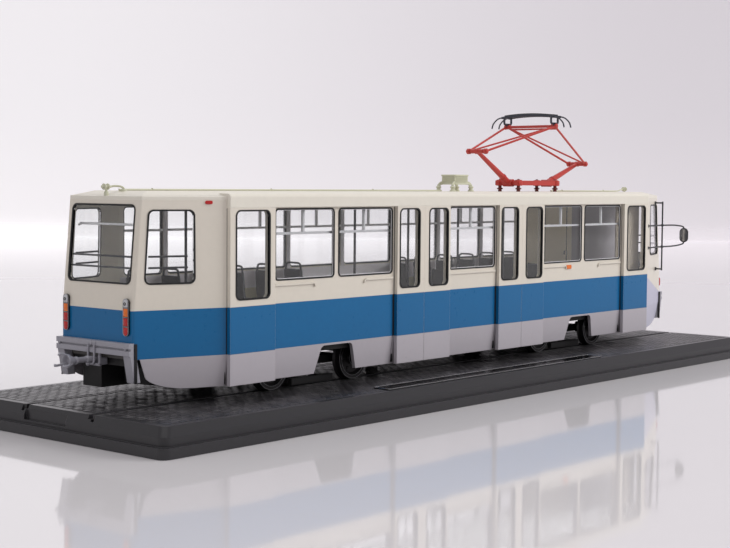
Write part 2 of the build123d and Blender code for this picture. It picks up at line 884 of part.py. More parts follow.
def make_tail_lamps():
    """Bezels and lenses of the tail lamps: clear, amber and two red, from the top."""
    spread = lamp_high_rise - lamp_low_rise
    cell = spread / 4
    rim = lamp_bezel / 2
    depth = lamp_bezel + lens_proud
    bezels, red, amber, clear = [], [], [], []
    for side in (-1, 1):
        bezels.append(lamp_box(-1, side, lamp_low_rise, lamp_high_rise, 0, lamp_bezel, lamp_round))
        whole = lamp_box(-1, side, lamp_low_rise, lamp_high_rise, -rim, depth, lamp_round - rim)
        for index in range(4):
            low = lamp_low_rise + cell * index + rim / 2
            high = lamp_low_rise + cell * (index + 1) - rim / 2
            lens = whole & block(-end_x - depth, -end_x - lamp_bezel, -far, far, low, high)
            (red, red, amber, clear)[index].append(lens)
        red.append(lamp_box(1, side, nose_lamp_low_rise, nose_lamp_high_rise, -rim / 2, depth))
    return bezels, red, amber, clear


def make_marker(sign, side):
    """A small marker lamp high on a facet."""
    frame = facet_frame(facet_length * marker_share, marker_rise, sign, side)
    return extrude(frame * Rectangle(marker_length, marker_height), amount=lens_proud)


def make_headlamp(side):
    """A round headlamp on the nose."""
    y = side * headlamp_y
    face_x = end_x + lamp_bezel
    return rod((end_x, y, headlamp_rise), (face_x, y, headlamp_rise), headlamp_radius, headlamp_face_radius)


def make_mirror():
    """The right mirror on its two arms, with the post that braces them."""
    pieces = []
    post = (mirror_post_x, -mirror_post_y)
    for sign in (-1, 1):
        rise = mirror_rise + sign * mirror_arm_spread
        tip = mirror_rise + sign * mirror_tip_spread
        frame = facet_frame((end_x - mirror_foot_x) / facet_run * facet_length, rise, 1, -1)
        pieces.append(extrude(frame * Circle(mirror_arm_radius * 2), amount=mirror_pad + mirror_arm_radius))
        foot = tuple(frame.origin + frame.z_dir * mirror_pad)
        pieces.append(rod(foot, (*post, rise), mirror_arm_radius))
        pieces.append(rod((*post, rise), (mirror_x, -mirror_y, tip), mirror_arm_radius))
        pieces.append(Pos(*post, rise) * Sphere(mirror_knob_radius))
    pieces.append(rod((*post, mirror_post_low_rise), (*post, mirror_post_high_rise), mirror_arm_radius))
    for rise in (mirror_post_low_rise + mirror_arm_radius * 2, mirror_post_high_rise - mirror_arm_radius * 2):
        frame = facet_frame((end_x - mirror_post_x) / facet_run * facet_length, rise, 1, -1)
        foot = tuple(frame.origin + frame.z_dir * mirror_pad)
        pieces.append(extrude(frame * Circle(mirror_arm_radius * 2), amount=mirror_pad + mirror_arm_radius))
        pieces.append(rod(foot, (*post, rise), mirror_arm_radius))
    place = (mirror_x - mirror_depth / 2, -mirror_y, mirror_rise)
    face = Plane(origin=place, x_dir=(0, 1, 0), z_dir=(1, 0, 0))
    plan = RectangleRounded(mirror_width, mirror_height, mirror_width / 3)
    glass = extrude(face * plan, amount=mirror_depth)
    return joined([glass] + pieces)


def make_roof_box():
    """The resistor box on its splayed feet."""
    low = roof_crown_rise + box_stand
    body = block(
        box_x - box_length / 2, box_x + box_length / 2, box_y - box_width / 2, box_y + box_width / 2,
        low, low + box_height)
    pieces = [body]
    for sx in (-1, 1):
        for sy in (-1, 1):
            top_x = box_x + sx * box_length * box_leg_share
            top_y = box_y + sy * box_width * box_leg_share
            top = (top_x, top_y, low + base_tube / 2)
            foot_x = box_x + sx * (box_length / 2 + box_foot_reach)
            foot = (foot_x, box_y + sy * box_width / 2, roof_crown_rise)
            pieces.append(rod((foot[0], foot[1], foot[2] + base_tube / 2), top, base_tube / 2))
            pieces.append(Pos(*foot) * Cylinder(base_tube, base_tube, align=LOW))
    return joined(pieces)


def make_insulator(x):
    """A two disc insulator near an end of the roof, before the roof is cut from its foot."""
    stem = Pos(x, 0, roof_edge_rise) * Cylinder(insulator_disc / 2, insulator_height, align=LOW)
    disc = Cylinder(insulator_disc, insulator_height / 6, align=LOW)
    low_disc = Pos(x, 0, roof_edge_rise + low_disc_share * insulator_height) * disc
    high_disc = Pos(x, 0, roof_edge_rise + high_disc_share * insulator_height) * disc
    return stem + low_disc + high_disc


def make_roof_lead():
    """The bent lead from the rear insulator down to its foot on the roof."""
    top = roof_edge_rise + insulator_height * lead_share
    foot_top = roof_crown_rise + lead_foot_height
    bend = (-lead_foot_x, -lead_foot_y, foot_top + lead_radius)
    run = rod((-insulator_x, 0, top), bend, lead_radius)
    foot = Pos(-lead_foot_x, -lead_foot_y, roof_edge_rise) * Cylinder(
        lead_foot_radius, foot_top - roof_edge_rise, align=LOW)
    drop = rod((-lead_foot_x, -lead_foot_y, roof_crown_rise), bend, lead_radius)
    return run + foot + drop + Pos(*bend) * Sphere(lead_radius)


def make_cables():
    """The conductor along the roof's crown, with an insulator near each end."""
    high = roof_crown_rise + cable_radius
    rear_end = (-cable_rear_x, 0, high)
    box_end = (box_x - box_length / 2 - box_foot_reach - cable_box_gap, 0, high)
    rear = rod(rear_end, box_end, cable_radius)
    front_start = (panto_x + base_half_length + cable_box_gap, 0, high)
    front_end = (cable_front_x, 0, high)
    front = rod(front_start, front_end, cable_radius)
    return grouped([rear, front])


# Pantograph places: pivots, knuckles and head, from the arm lengths and the lifts
rear_pivot = (panto_x - pivot_half, pivot_rise)
front_pivot = (panto_x + pivot_half, pivot_rise)
rear_reach, rear_climb = lower_arm * cos(radians(rear_lift)), lower_arm * sin(radians(rear_lift))
front_reach, front_climb = lower_arm * cos(radians(front_lift)), lower_arm * sin(radians(front_lift))
rear_knuckle = (rear_pivot[0] - rear_reach, rear_pivot[1] + rear_climb)
front_knuckle = (front_pivot[0] + front_reach, front_pivot[1] + front_climb)
span_x = front_knuckle[0] - rear_knuckle[0]
span_z = front_knuckle[1] - rear_knuckle[1]
span = hypot(span_x, span_z)
rear_upper_angle = acos(span / 2 / upper_arm) + atan2(span_z, span_x)
head = (
    rear_knuckle[0] + upper_arm * cos(rear_upper_angle), rear_knuckle[1] + upper_arm * sin(rear_upper_angle))


def make_panto_base():
    """The base frame: two long tubes, two pivot shafts and end ties, on four pads."""
    low = pivot_rise - base_tube
    pieces = []
    for side in (-1, 1):
        pieces.append(block(
            panto_x - base_half_length, panto_x + base_half_length, side * base_half_width - base_tube,
            side * base_half_width + base_tube, low, low + 2 * base_tube))
    for x, rise in (rear_pivot, front_pivot):
        pieces.append(rod((x, -base_half_width, rise), (x, base_half_width, rise), pivot_radius))
    for sign in (-1, 1):
        x = panto_x + sign * (pivot_half - boss_radius - base_tube)
        pieces.append(block(
            x - base_tube / 2, x + base_tube / 2, -base_half_width, base_half_width, low, low + base_tube))
    return joined(pieces)


def make_panto_insulators():
    """Four short insulators under the base frame."""
    height = pivot_rise - base_tube - roof_crown_rise
    pieces = []
    for sx in (-1, 1):
        for sy in (-1, 1):
            x = panto_x + sx * (base_half_length - base_tube * 2)
            y = sy * base_half_width
            stem = Pos(x, y, roof_crown_rise) * Cylinder(insulator_stem_radius, height, align=LOW)
            disc = Pos(x, y, roof_crown_rise + height / 3) * Cylinder(insulator_radius, height / 4, align=LOW)
            pieces.append(stem + disc)
    return grouped(pieces)


def make_lower_arm(pivot, knuckle):
    """A tapered tube from its boss on the base shaft to the knuckle's cross tube."""
    x, rise = pivot
    kx, kz = knuckle
    boss = rod((x, -boss_length / 2, rise), (x, boss_length / 2, rise), boss_radius)
    arm = rod((x, 0, rise), (kx, 0, kz), lower_root_radius, lower_tip_radius)
    cross = rod((kx, -knuckle_half, kz), (kx, knuckle_half, kz), knuckle_radius)
    sleeve_half = knuckle_half - sleeve_inset
    sleeve = rod((kx, -sleeve_half, kz), (kx, sleeve_half, kz), sleeve_radius)
    shaft = rod((x, -far, rise), (x, far, rise), pivot_radius + fit_gap)
    return boss + arm + cross + sleeve - shaft


def make_upper_frame(knuckle, sign, carries_head):
    """A frame of thin tubes from the knuckle's lugs up to the head tube."""
    kx, kz = knuckle
    hx, hz = head
    gap = 0 if carries_head else hook_gap
    run = Vector(hx - kx, 0, hz - kz)
    along = run.normalized()
    top_x = hx - along.X * gap
    top_z = hz - along.Z * gap
    lug_y = knuckle_half - lug_length / 2
    pieces = []
    for side in (-1, 1):
        lug_in, lug_out = side * (lug_y - lug_length / 2), side * (lug_y + lug_length / 2)
        pieces.append(rod((kx, lug_in, kz), (kx, lug_out, kz), lug_radius))
        pieces.append(rod((kx, side * lug_y, kz), (top_x, side * (head_half - gap), top_z), upper_tube))
    start = (kx, -sign * lug_y, kz)
    end = (top_x, sign * (head_half - gap), top_z)
    pieces.append(rod(start, end, diagonal_tube))
    if carries_head:
        pieces.append(rod((hx, -head_half, hz), (hx, head_half, hz), head_tube))
    else:
        back = Vector(top_x, 0, top_z) - along * hook_tie_distance
        share = (back.X - kx) / (top_x - kx)
        half = lug_y + (head_half - gap - lug_y) * share
        pieces.append(rod((back.X, -half, back.Z), (back.X, half, back.Z), diagonal_tube))
    frame = joined(pieces)
    pin = rod((kx, -far, kz), (kx, far, kz), knuckle_radius + fit_gap)
    return frame - pin


def make_head():
    """The collector: two box brackets on the head tube and two strips with bent horns."""
    hx, hz = head
    pieces = []
    top = hz + bracket_height
    half = bracket_length / 2
    for side in (-1, 1):
        y = side * (head_half + bracket_bar * 2)
        ring = [(hx - half, y, hz), (hx + half, y, hz), (hx + half, y, top), (hx - half, y, top)]
        for a, b in zip(ring, ring[1:] + ring[:1]):
            pieces.append(rod(a, b, bracket_bar))
            pieces.append(Pos(*a) * Sphere(bracket_bar))
        pieces.append(rod(
            (hx, y - bracket_bar, hz), (hx, y + bracket_bar, hz), head_tube * 2))
    for sx in (-1, 1):
        x = hx + sx * half
        strip = ThreePointArc((x, -strip_half, top), (x, 0, top + strip_bow), (x, strip_half, top))
        pieces.append(sweep(Plane(origin=strip @ 0, z_dir=strip % 0) * Circle(strip_radius), path=strip))
        for side in (-1, 1):
            start = (x, side * (strip_half - horn_inner), top + strip_bow * horn_inner / strip_half)
            end = (x, side * (strip_half + horn_reach), top - horn_drop)
            horn = Spline(start, end, tangents=[(0, side, 0), (0, 0, -1)])
            pieces.append(sweep(Plane(origin=horn @ 0, z_dir=horn % 0) * Circle(horn_radius), path=horn))
    return joined(pieces)


def make_wheelset(x):
    """One axle with its two wheels, which stand outside the bogie's side beams."""
    wheel_in = rail_y - wheel_flange_width
    wheel_out = rail_y + wheel_tread
    pieces = [rod((x, -wheel_out, wheel_radius), (x, wheel_out, wheel_radius), axle_radius)]
    rim_inner = wheel_radius - wheel_rim
    width = wheel_out - wheel_in
    web = width - wheel_web
    profile = Polygon(
        (0, 0), (0, wheel_radius + wheel_flange), (wheel_flange_width, wheel_radius), (width, wheel_radius),
        (width, rim_inner), (web, rim_inner - wheel_web), (web, hub_radius), (width, hub_radius), (width, 0),
        align=None)
    wheel = revolve(Plane.XY * profile, Axis.X)
    wheel = Rot(0, 0, 90) * wheel
    for side in (-1, 1):
        placed = Pos(x, wheel_in, wheel_radius) * wheel
        pieces.append(placed if side > 0 else mirror(placed, about=Plane.XZ))
    return Pos(0, 0, running_gap) * joined(pieces)


def make_bogie(x):
    """A bogie frame: side beams with axle boxes, a bolster, springs and rail brakes."""
    axle_rise = wheel_radius + running_gap
    reach = axle_spacing / 2
    pieces = []
    bolster_top = frame_low_rise
    bolster_low = bolster_top - bolster_height
    pieces.append(block(
        x - bolster_width / 2, x + bolster_width / 2, -bogie_beam_y - bogie_beam_width / 2,
        bogie_beam_y + bogie_beam_width / 2, bolster_low, bolster_top))
    for side in (-1, 1):
        y0 = side * bogie_beam_y - bogie_beam_width / 2
        y1 = side * bogie_beam_y + bogie_beam_width / 2
        half = bogie_beam_height / 2
        end = reach + axle_box / 2
        pieces.append(block(x - end, x + end, y0, y1, axle_rise - half, axle_rise + half))
        box_half = axle_box / 2
        for axle in (-1, 1):
            ax = x + axle * reach
            box = block(ax - box_half, ax + box_half, y0, y1, axle_rise - box_half, axle_rise + box_half)
            pieces.append(fillet(box.edges().filter_by(Axis.Y), axle_box / 5))
        for sx in (-1, 1):
            place = (x + sx * bolster_width, side * bogie_beam_y)
            pieces.append(rod((*place, axle_rise), (*place, bolster_top), spring_radius))
        by = side * (rail_y + brake_width / 4)
        by0, by1 = by - brake_width / 2, by + brake_width / 2
        brake_mid, brake_top = brake_rise + brake_height / 2, brake_rise + brake_height
        pieces.append(block(x - brake_half, x + brake_half, by0, by1, brake_rise, brake_top))
        arm_y0, arm_y1 = sorted((by, side * bogie_beam_y))
        for sx in (-1, 1):
            hx0 = x + sx * brake_hanger_x - brake_hanger
            hx1 = x + sx * brake_hanger_x + brake_hanger
            pieces.append(block(hx0, hx1, arm_y0, arm_y1, brake_mid, brake_top))
            pieces.append(block(hx0, hx1, y0, y1, brake_mid, axle_rise))
    frame = joined(pieces)
    for axle in (-1, 1):
        ax = x + axle * reach
        frame = frame - rod((ax, -far, axle_rise), (ax, far, axle_rise), axle_radius + fit_gap)
    return frame


save("plinth", make_plinth(), 0)
save("rails", make_rails())
save("nameplate", make_nameplate())
save("fixing_posts", make_posts())
for node, shape in make_walls().items():
    save(node, shape)
skirt = make_skirts()
save("skirt_right", skirt & block(-far, far, -far, 0, 0, far))
save("skirt_left", skirt & block(-far, far, 0, far, 0, far))
roof = make_roof()
save("roof", roof)
for name in door_spans:
    save(name, make_door(name))
save("door_guides", make_guides())
all_door_windows = [window for windows in door_windows.values() for window in windows]
save("glass_right", glazing(right_windows + all_door_windows))
save("glass_left", glazing(left_windows))
save("glass_ends", glazing(end_windows))
save("seals_right", seals(right_windows + all_door_windows))
save("seals_left", seals(left_windows))
save("seals_ends", seals(end_windows))
save("vent_sashes", make_sashes())
save("guard_bars", make_guard_bars())
save("underframe", make_underframe())
save("equipment_boxes", make_equipment())
save("saloon_floor", make_floor())
right_rows = [
    (right_rear_seat_x, right_row_count), (right_middle_seat_x, right_pair_count),
    (right_front_seat_x, right_row_count)]
left_rows = [(left_rear_seat_x, left_row_count), (left_front_seat_x, left_row_count)]
save("seats_right", make_seats(-1, right_rows, False))
save("seats_left", make_seats(1, left_rows, True))
save("grab_poles", make_poles())
cab_half = body_half_width - pane_inset - pane_thickness - sash_bar - frame_clear
cab_wall_end = cab_wall_x + cab_wall_thickness
cross_wall = block(cab_wall_x, cab_wall_end, -cab_side_y, cab_half, floor_rise, wall_top_rise)
side_wall = block(
    cab_wall_x, cab_side_end_x, -cab_side_y, cab_wall_thickness - cab_side_y, floor_rise, wall_top_rise)
save("cab_partition", cross_wall + side_wall)
console_end = end_x - wall - end_lean
console = block(
    console_end - console_depth, console_end, -console_width / 2, console_width / 2, floor_rise,
    floor_rise + console_height)
save("driver_console", console)
save("driver_seat", make_seat((cab_wall_x + end_x) / 2, driver_y, 1, False))
save("bumpers", grouped(both_ends(make_bumper())))
save("couplers", grouped(both_ends(make_coupler())))
bezels, red, amber, clear = make_tail_lamps()
save("lamp_bezels", grouped(bezels))
markers = [make_marker(-1, side) for side in (-1, 1)]
save("red_lenses", grouped(red + markers))
side_lamps = []
for side in (-1, 1):
    frame = side_frame(side_lamp_x, side_lamp_rise, side * body_half_width)
    side_lamps.append(extrude(frame * Rectangle(marker_length, marker_height), amount=lens_proud))
save("amber_lenses", grouped(amber + side_lamps))
save("clear_lenses", grouped(clear + [make_headlamp(side) for side in (-1, 1)]))
save("mirrors", grouped(both_sides(make_mirror())))
save("roof_box", make_roof_box())
save("roof_insulators", grouped([
    make_insulator(-insulator_x) + make_roof_lead() - roof, make_insulator(insulator_x) - roof]))
save("roof_cables", make_cables())
save("panto_insulators", make_panto_insulators())
save("panto_base", make_panto_base())
save("panto_lower_rear", make_lower_arm(rear_pivot, rear_knuckle))
save("panto_lower_front", make_lower_arm(front_pivot, front_knuckle))
save("panto_upper_rear", make_upper_frame(rear_knuckle, -1, True))
save("panto_upper_front", make_upper_frame(front_knuckle, 1, False))
save("panto_head", make_head())
for name, sign in (("rear", -1), ("front", 1)):
    save("bogie_" + name, make_bogie(sign * bogie_x))
for index, (sign, axle) in enumerate(((-1, -1), (-1, 1), (1, -1), (1, 1))):
    save("wheelset_" + str(index + 1), make_wheelset(sign * bogie_x + axle * axle_spacing / 2))
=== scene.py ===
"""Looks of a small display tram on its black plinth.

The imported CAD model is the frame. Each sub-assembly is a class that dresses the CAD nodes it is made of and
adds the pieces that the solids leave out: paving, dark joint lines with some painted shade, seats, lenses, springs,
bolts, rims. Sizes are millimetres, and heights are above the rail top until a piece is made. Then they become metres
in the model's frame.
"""

import functools
import logging
import math
from collections.abc import Callable, Iterable, Mapping, Sequence
from dataclasses import dataclass, field
from enum import Enum

import bpy
import numpy as np
from mathutils import Matrix, Vector


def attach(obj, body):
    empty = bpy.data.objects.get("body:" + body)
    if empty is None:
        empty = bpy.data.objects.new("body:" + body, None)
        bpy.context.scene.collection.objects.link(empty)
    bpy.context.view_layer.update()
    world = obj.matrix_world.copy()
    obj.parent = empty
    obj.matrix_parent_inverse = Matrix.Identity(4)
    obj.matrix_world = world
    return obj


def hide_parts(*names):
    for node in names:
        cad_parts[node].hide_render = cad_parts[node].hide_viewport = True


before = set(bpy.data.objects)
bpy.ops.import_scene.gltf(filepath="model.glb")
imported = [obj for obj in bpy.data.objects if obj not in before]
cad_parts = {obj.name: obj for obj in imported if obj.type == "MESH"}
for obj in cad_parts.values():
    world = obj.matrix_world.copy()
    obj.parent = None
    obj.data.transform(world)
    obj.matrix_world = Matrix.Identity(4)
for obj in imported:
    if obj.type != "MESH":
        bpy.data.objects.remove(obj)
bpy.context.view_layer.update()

LOG = logging.getLogger("tram")
MM = 0.001
RAIL_TOP = 9.9
ROOT = "tram_on_plinth"
HEAD_BODY = "panto_head_body"
SEED = 43
LENGTHWAYS, CROSSWAYS, UPWARDS = np.eye(3)
SIDES = (-1, 1)
CORNERS = [(along, across) for along in SIDES for across in SIDES]

# The body's paint changes at two heights, and its walls stand at one distance from the middle.
SKIRT_TOP = 16.7
BELT = 33.0
BODY_HALF = 29.3

# Size of a paving sett along the track and across it.
COURSE = 2.28
SETT = 5.33

# Detail of shapes: least corner radius, steps of a coil's turn, and the rings of a crowned front.
LEAST_RADIUS = 0.01
COIL_STEPS = 14
CROWN_SHARES = (0.2, 0.45, 0.7, 0.92)

# Sockets of the Mix node that are for colours.
MIX_SHARE = 0
MIX_COLOURS = (6, 7)
MIX_RESULT = 2

Point = Sequence[float]
Profile = Sequence[tuple[float, float]]
Ring = Callable[[float], np.ndarray]
Colour = tuple[float, float, float]
Socket = bpy.types.NodeSocket
Sockets = Mapping[str, Socket]
Results = dict[str, Socket]


class Axis(Enum):
    """The model's axes: along the track, across it, and up."""

    X = 0
    Y = 1
    Z = 2


class Slot(Enum):
    """The record's material slots, given with each added piece."""

    PLINTH = "plinth_black"
    PLATE = "plate_black"
    CREAM = "body_cream"
    SEAL = "seal_black"
    SASH = "sash_white"
    BAR = "bar_dark"
    FRAME = "frame_black"
    FLOOR = "floor_grey"
    SEAT = "seat_dark"
    CAB = "cab_beige"
    BUMPER = "bumper_grey"
    RED = "lens_red"
    AMBER = "lens_amber"
    CLEAR = "lens_clear"
    GEAR = "roof_gear"
    PANTO = "panto_red"
    COLLECTOR = "collector_dark"
    WHEEL = "wheel_steel"


# ---------------------------------------------------------------- shapes


@dataclass(frozen=True)
class Shape:
    """Points in millimetres, and faces as arrays of point numbers."""

    points: np.ndarray
    faces: tuple[np.ndarray, ...]

    def moved(self, x: float = 0.0, y: float = 0.0, z: float = 0.0) -> "Shape":
        """The shape carried by a vector."""
        return Shape(self.points + np.array([x, y, z]), self.faces)

    def mirrored(self, axis: Axis) -> "Shape":
        """The shape with one coordinate's sign changed and its faces turned to point out again.

        Args:
            axis: the axis whose coordinate changes its sign.

        Returns:
            The mirror image.
        """
        flip = np.ones(3)
        flip[axis.value] = -1.0
        return Shape(self.points * flip, tuple(block[:, ::-1] for block in self.faces))

    def both(self, axis: Axis) -> "Shape":
        """The shape with its mirror image."""
        return merge([self, self.mirrored(axis)])

    def volume(self) -> float:
        """Signed volume: a sixth of the sum of a . (b x c) over the triangles of the faces.

        Returns:
            The volume, which is negative where the faces point in.
        """
        total = 0.0
        for block in self.faces:
            first = self.points[block[:, 0]]
            for corner in range(1, block.shape[1] - 1):
                second, third = self.points[block[:, corner]], self.points[block[:, corner + 1]]
                total += float(np.einsum("ij,ij->", first, np.cross(second, third)))
        return total / 6.0

    def outward(self) -> "Shape":
        """The shape with its faces pointing out, told by the sign of its volume.

        Returns:
            The shape, or the one with its faces turned.
        """
        centred = Shape(self.points - self.points.mean(0), self.faces)
        if centred.volume() >= 0.0:
            return self
        return Shape(self.points, tuple(block[:, ::-1] for block in self.faces))


def merge(shapes: Iterable[Shape]) -> Shape:
    """One shape from several.

    Args:
        shapes: the shapes, each closed in itself.

    Returns:
        Their points in a row, with each shape's faces renumbered.
    """
    parts = list(shapes)
    starts = np.cumsum([0] + [len(part.points) for part in parts[:-1]])
    faces = tuple(block + start for part, start in zip(parts, starts) for block in part.faces)
    return Shape(np.concatenate([part.points for part in parts]), faces)


def skin(rings: np.ndarray, looped: bool = False) -> Shape:
    """A closed surface through rings of points.

    The quad of row i and column j has the corners (i, j), (i, j+1), (i+1, j+1) and (i+1, j).

    Args:
        rings: points, one row for each ring, all with the same count.
        looped: the last ring joins the first one, otherwise the end rings are filled.

    Returns:
        The surface, with its faces pointing out.
    """
    count, around = rings.shape[:2]
    rows = np.arange(count if looped else count - 1)[:, None]
    cols = np.arange(around)[None, :]
    after, beside = (rows + 1) % count, (cols + 1) % around
    corners = [rows * around + cols, rows * around + beside, after * around + beside, after * around + cols]
    faces = [np.stack(corners, -1).reshape(-1, 4)]
    if not looped:
        faces += [np.arange(around)[None, ::-1], (count - 1) * around + np.arange(around)[None, :]]
    return Shape(rings.reshape(-1, 3), tuple(faces)).outward()


def circle(radius: float, sides: int = 12) -> np.ndarray:
    """Points (r cos a, r sin a) at even angles."""
    turn = np.linspace(0.0, 2.0 * math.pi, sides, endpoint=False)
    return radius * np.stack([np.cos(turn), np.sin(turn)], -1)


def rounded(width: float, height: float, corner: float | Sequence[float], steps: int = 5) -> np.ndarray:
    """A rectangle's ring with round corners, anticlockwise.

    Each corner is a quarter circle of its own radius about a centre set in from it by that radius.

    Args:
        width: size across.
        height: size up.
        corner: one radius, or four from the upper right corner anticlockwise.
        steps: parts of each quarter circle.

    Returns:
        The ring's points.
    """
    radii = np.broadcast_to(np.asarray(corner, float), (4,))
    signs = np.array([(1, 1), (-1, 1), (-1, -1), (1, -1)], float)
    turn = np.linspace(0.0, math.pi / 2, steps + 1)[None, :] + np.arange(4)[:, None] * math.pi / 2
    centre = signs * (np.array([width, height]) / 2 - radii[:, None])
    spokes = np.stack([np.cos(turn), np.sin(turn)], -1)
    return (centre[:, None, :] + radii[:, None, None] * spokes).reshape(-1, 2)


@dataclass(frozen=True)
class Place:
    """A flat place on the model: its origin and the directions across it and up it."""

    origin: Point
    across: Point = (1.0, 0.0, 0.0)
    up: Point = (0.0, 1.0, 0.0)

    def points(self, flat: np.ndarray, level: float | np.ndarray = 0.0) -> np.ndarray:
        """Origin + u x across + v x up + level x (across x up).

        Args:
            flat: points across and up.
            level: how far they stand out, one for all or one each.

        Returns:
            The points in space.
        """
        across, up = np.asarray(self.across), np.asarray(self.up)
        flat = np.asarray(flat, float)
        lift = np.asarray(level, float)[..., None] * np.cross(across, up)
        return np.asarray(self.origin) + flat[..., :1] * across + flat[..., 1:] * up + lift


def side_place(x: float, rise: float, y: float) -> Place:
    """A place on a side wall that looks out, to the right where y is negative."""
    return Place((x, y, rise), (-math.copysign(1.0, y), 0.0, 0.0), (0.0, 0.0, 1.0))


def outline(width: float, height: float, corner: float | Sequence[float], steps: int = 5) -> Ring:
    """A rounded rectangle that can be drawn in by an inset.

    Args:
        width: size across.
        height: size up.
        corner: one radius, or four from the upper right corner anticlockwise.
        steps: parts of each quarter circle.

    Returns:
        A function that gives the ring for an inset.
    """

    def ring(inset: float) -> np.ndarray:
        """The outline drawn in, with its corner radii as much smaller."""
        radii = np.maximum(np.broadcast_to(np.asarray(corner, float), (4,)) - inset, LEAST_RADIUS)
        return rounded(width - 2 * inset, height - 2 * inset, radii, steps)

    return ring


def drawn_in(ring: Ring, start: float) -> Ring:
    """An outline whose insets count from an inset of its own."""
    return lambda inset: ring(inset + start)


def slab(place: Place, ring: Ring, depth: float, sink: float = 0.1, soft: float = 0.0, crown: float = 0.0) -> Shape:
    """A plate that stands out of a place, with a rounded edge and if asked a crowned front.

    The edge follows a quarter circle of radius soft. The front then rises by crown x (1 - (1 - s)^2) as the ring
    shrinks by the share s.

    Args:
        place: where it stands.
        ring: gives the outline for an inset.
        depth: how far it stands out.
        sink: how far it goes in.
        soft: radius of the front edge.
        crown: extra height of the middle.

    Returns:
        The closed plate.
    """
    turn = np.linspace(0.0, math.pi / 2, 4 if soft else 1)
    insets = [0.0, *(soft * (1 - np.cos(turn)))]
    levels = [-sink, *(depth - soft + soft * np.sin(turn))]
    rings = [place.points(ring(inset), level) for inset, level in zip(insets, levels)]
    if crown:
        front = ring(soft)
        rings += [place.points(front * (1 - s), depth + crown * (1 - (1 - s) ** 2)) for s in CROWN_SHARES]
    return skin(np.stack(rings))


def band(place: Place, ring: Ring, width: float, low: float, high: float, soft: float = 0.0) -> Shape:
    """A closed frame round an opening: a small section with softened front edges, carried round the outline.

    Args:
        place: where it lies.
        ring: gives the outline for an inset.
        width: the section's size across.
        low: where the section starts, out of the place.
        high: where it ends.
        soft: how much its front edges are cut.

    Returns:
        The closed frame.
    """
    section = [(0.0, low), (0.0, high), (width, high), (width, low)]
    if soft:
        section[1:3] = [(0.0, high - soft), (soft, high), (width - soft, high), (width, high - soft)]
    return skin(np.stack([place.points(ring(inset), level) for inset, level in section]), looped=True)


def block(low: Point, high: Point, soft: float = 0.15) -> Shape:
    """A box between two corners whose edges are all softened.

    Args:
        low: one corner.
        high: the opposite corner.
        soft: radius of the edges.

    Returns:
        The box.
    """
    low, high = np.minimum(low, high), np.maximum(low, high)
    size = high - low
    soft = min(soft, 0.45 * float(size.min()))
    place = Place((low[0] + size[0] / 2, low[1] + size[1] / 2, 0.0))
    ring = outline(size[0], size[1], soft, 2)
    turn = np.linspace(0.0, math.pi / 2, 3)
    inset = soft * (1 - np.sin(turn))
    rise = soft * (1 - np.cos(turn))
    levels = [*(low[2] + rise), *(high[2] - rise[::-1])]
    insets = [*inset, *inset[::-1]]
    return skin(np.stack([place.points(ring(i), level) for i, level in zip(insets, levels)]))


def sweep(path: np.ndarray, profile: np.ndarray, up: Point = UPWARDS, looped: bool = False) -> Shape:
    """A profile carried along a path.

    Ring = path point + u x side + v x normal, with side = tangent x up, made unit, and normal = side x tangent.

    Args:
        path: the points of the middle line.
        profile: the ring's points across and up.
        up: a direction that the path never runs along.
        looped: the path closes on itself.

    Returns:
        The closed tube.
    """
    tangent = np.roll(path, -1, 0) - np.roll(path, 1, 0) if looped else np.gradient(path, axis=0)
    tangent = tangent / np.linalg.norm(tangent, axis=1, keepdims=True)
    side = np.cross(tangent, np.asarray(up, float))
    side /= np.linalg.norm(side, axis=1, keepdims=True)
    normal = np.cross(side, tangent)
    spread = profile[None, :, :1] * side[:, None, :] + profile[None, :, 1:] * normal[:, None, :]
    return skin(path[:, None, :] + spread, looped)


def rib(x: float, half: float, low: Point, high: Point, soft: float = 0.15) -> Shape:
    """A soft box that reaches half a length each way from x, between two corners given across and up."""
    return block((x - half, *low), (x + half, *high), soft)


def bar(start: Point, end: Point, radius: float, sides: int = 10, up: Point = UPWARDS) -> Shape:
    """A straight round bar."""
    return sweep(np.array([start, end], float), circle(radius, sides), up)


def flowing(points: Sequence[Point], spans: int = 8) -> np.ndarray:
    """A smooth line through points: each span is the Catmull-Rom cubic of its four neighbours.

    Args:
        points: the points that it passes.
        spans: parts of each span.

    Returns:
        The line's points.
    """
    given = np.asarray(points, float)
    given = np.vstack([2 * given[0] - given[1], given, 2 * given[-1] - given[-2]])
    t = np.linspace(0.0, 1.0, spans, endpoint=False)[None, :, None]
    a, b, c, d = (given[i : len(given) - 3 + i, None, :] for i in range(4))
    line = 0.5 * (2 * b + (c - a) * t + (2 * a - 5 * b + 4 * c - d) * t**2 + (3 * b - a - 3 * c + d) * t**3)
    return np.vstack([line.reshape(-1, 3), given[-2]])


def facing(profile: Profile, sign: int) -> Profile:
    """A turned part's profile, run the other way along its axis where the sign is negative."""
    return [(radius, sign * along) for radius, along in profile]


def turned(profile: Profile, centre: Point, axis: Axis = Axis.Z, sides: int = 24, looped: bool = False) -> Shape:
    """A turned part: each (radius, along) pair of the profile gives a circle about the axis.

    Args:
        profile: radius and place along the axis, in order.
        centre: the point that the profile counts from.
        axis: the axis of turning.
        sides: points of each circle.
        looped: the profile closes on itself.

    Returns:
        The closed part.
    """
    rows = np.asarray(profile, float)
    first, second, along = np.roll(np.eye(3), -axis.value - 1, 0)
    spokes = circle(1.0, sides)
    ring = spokes[:, :1] * first + spokes[:, 1:] * second
    rings = np.asarray(centre, float) + rows[:, :1, None] * ring[None] + rows[:, 1:, None] * along
    return skin(rings, looped)


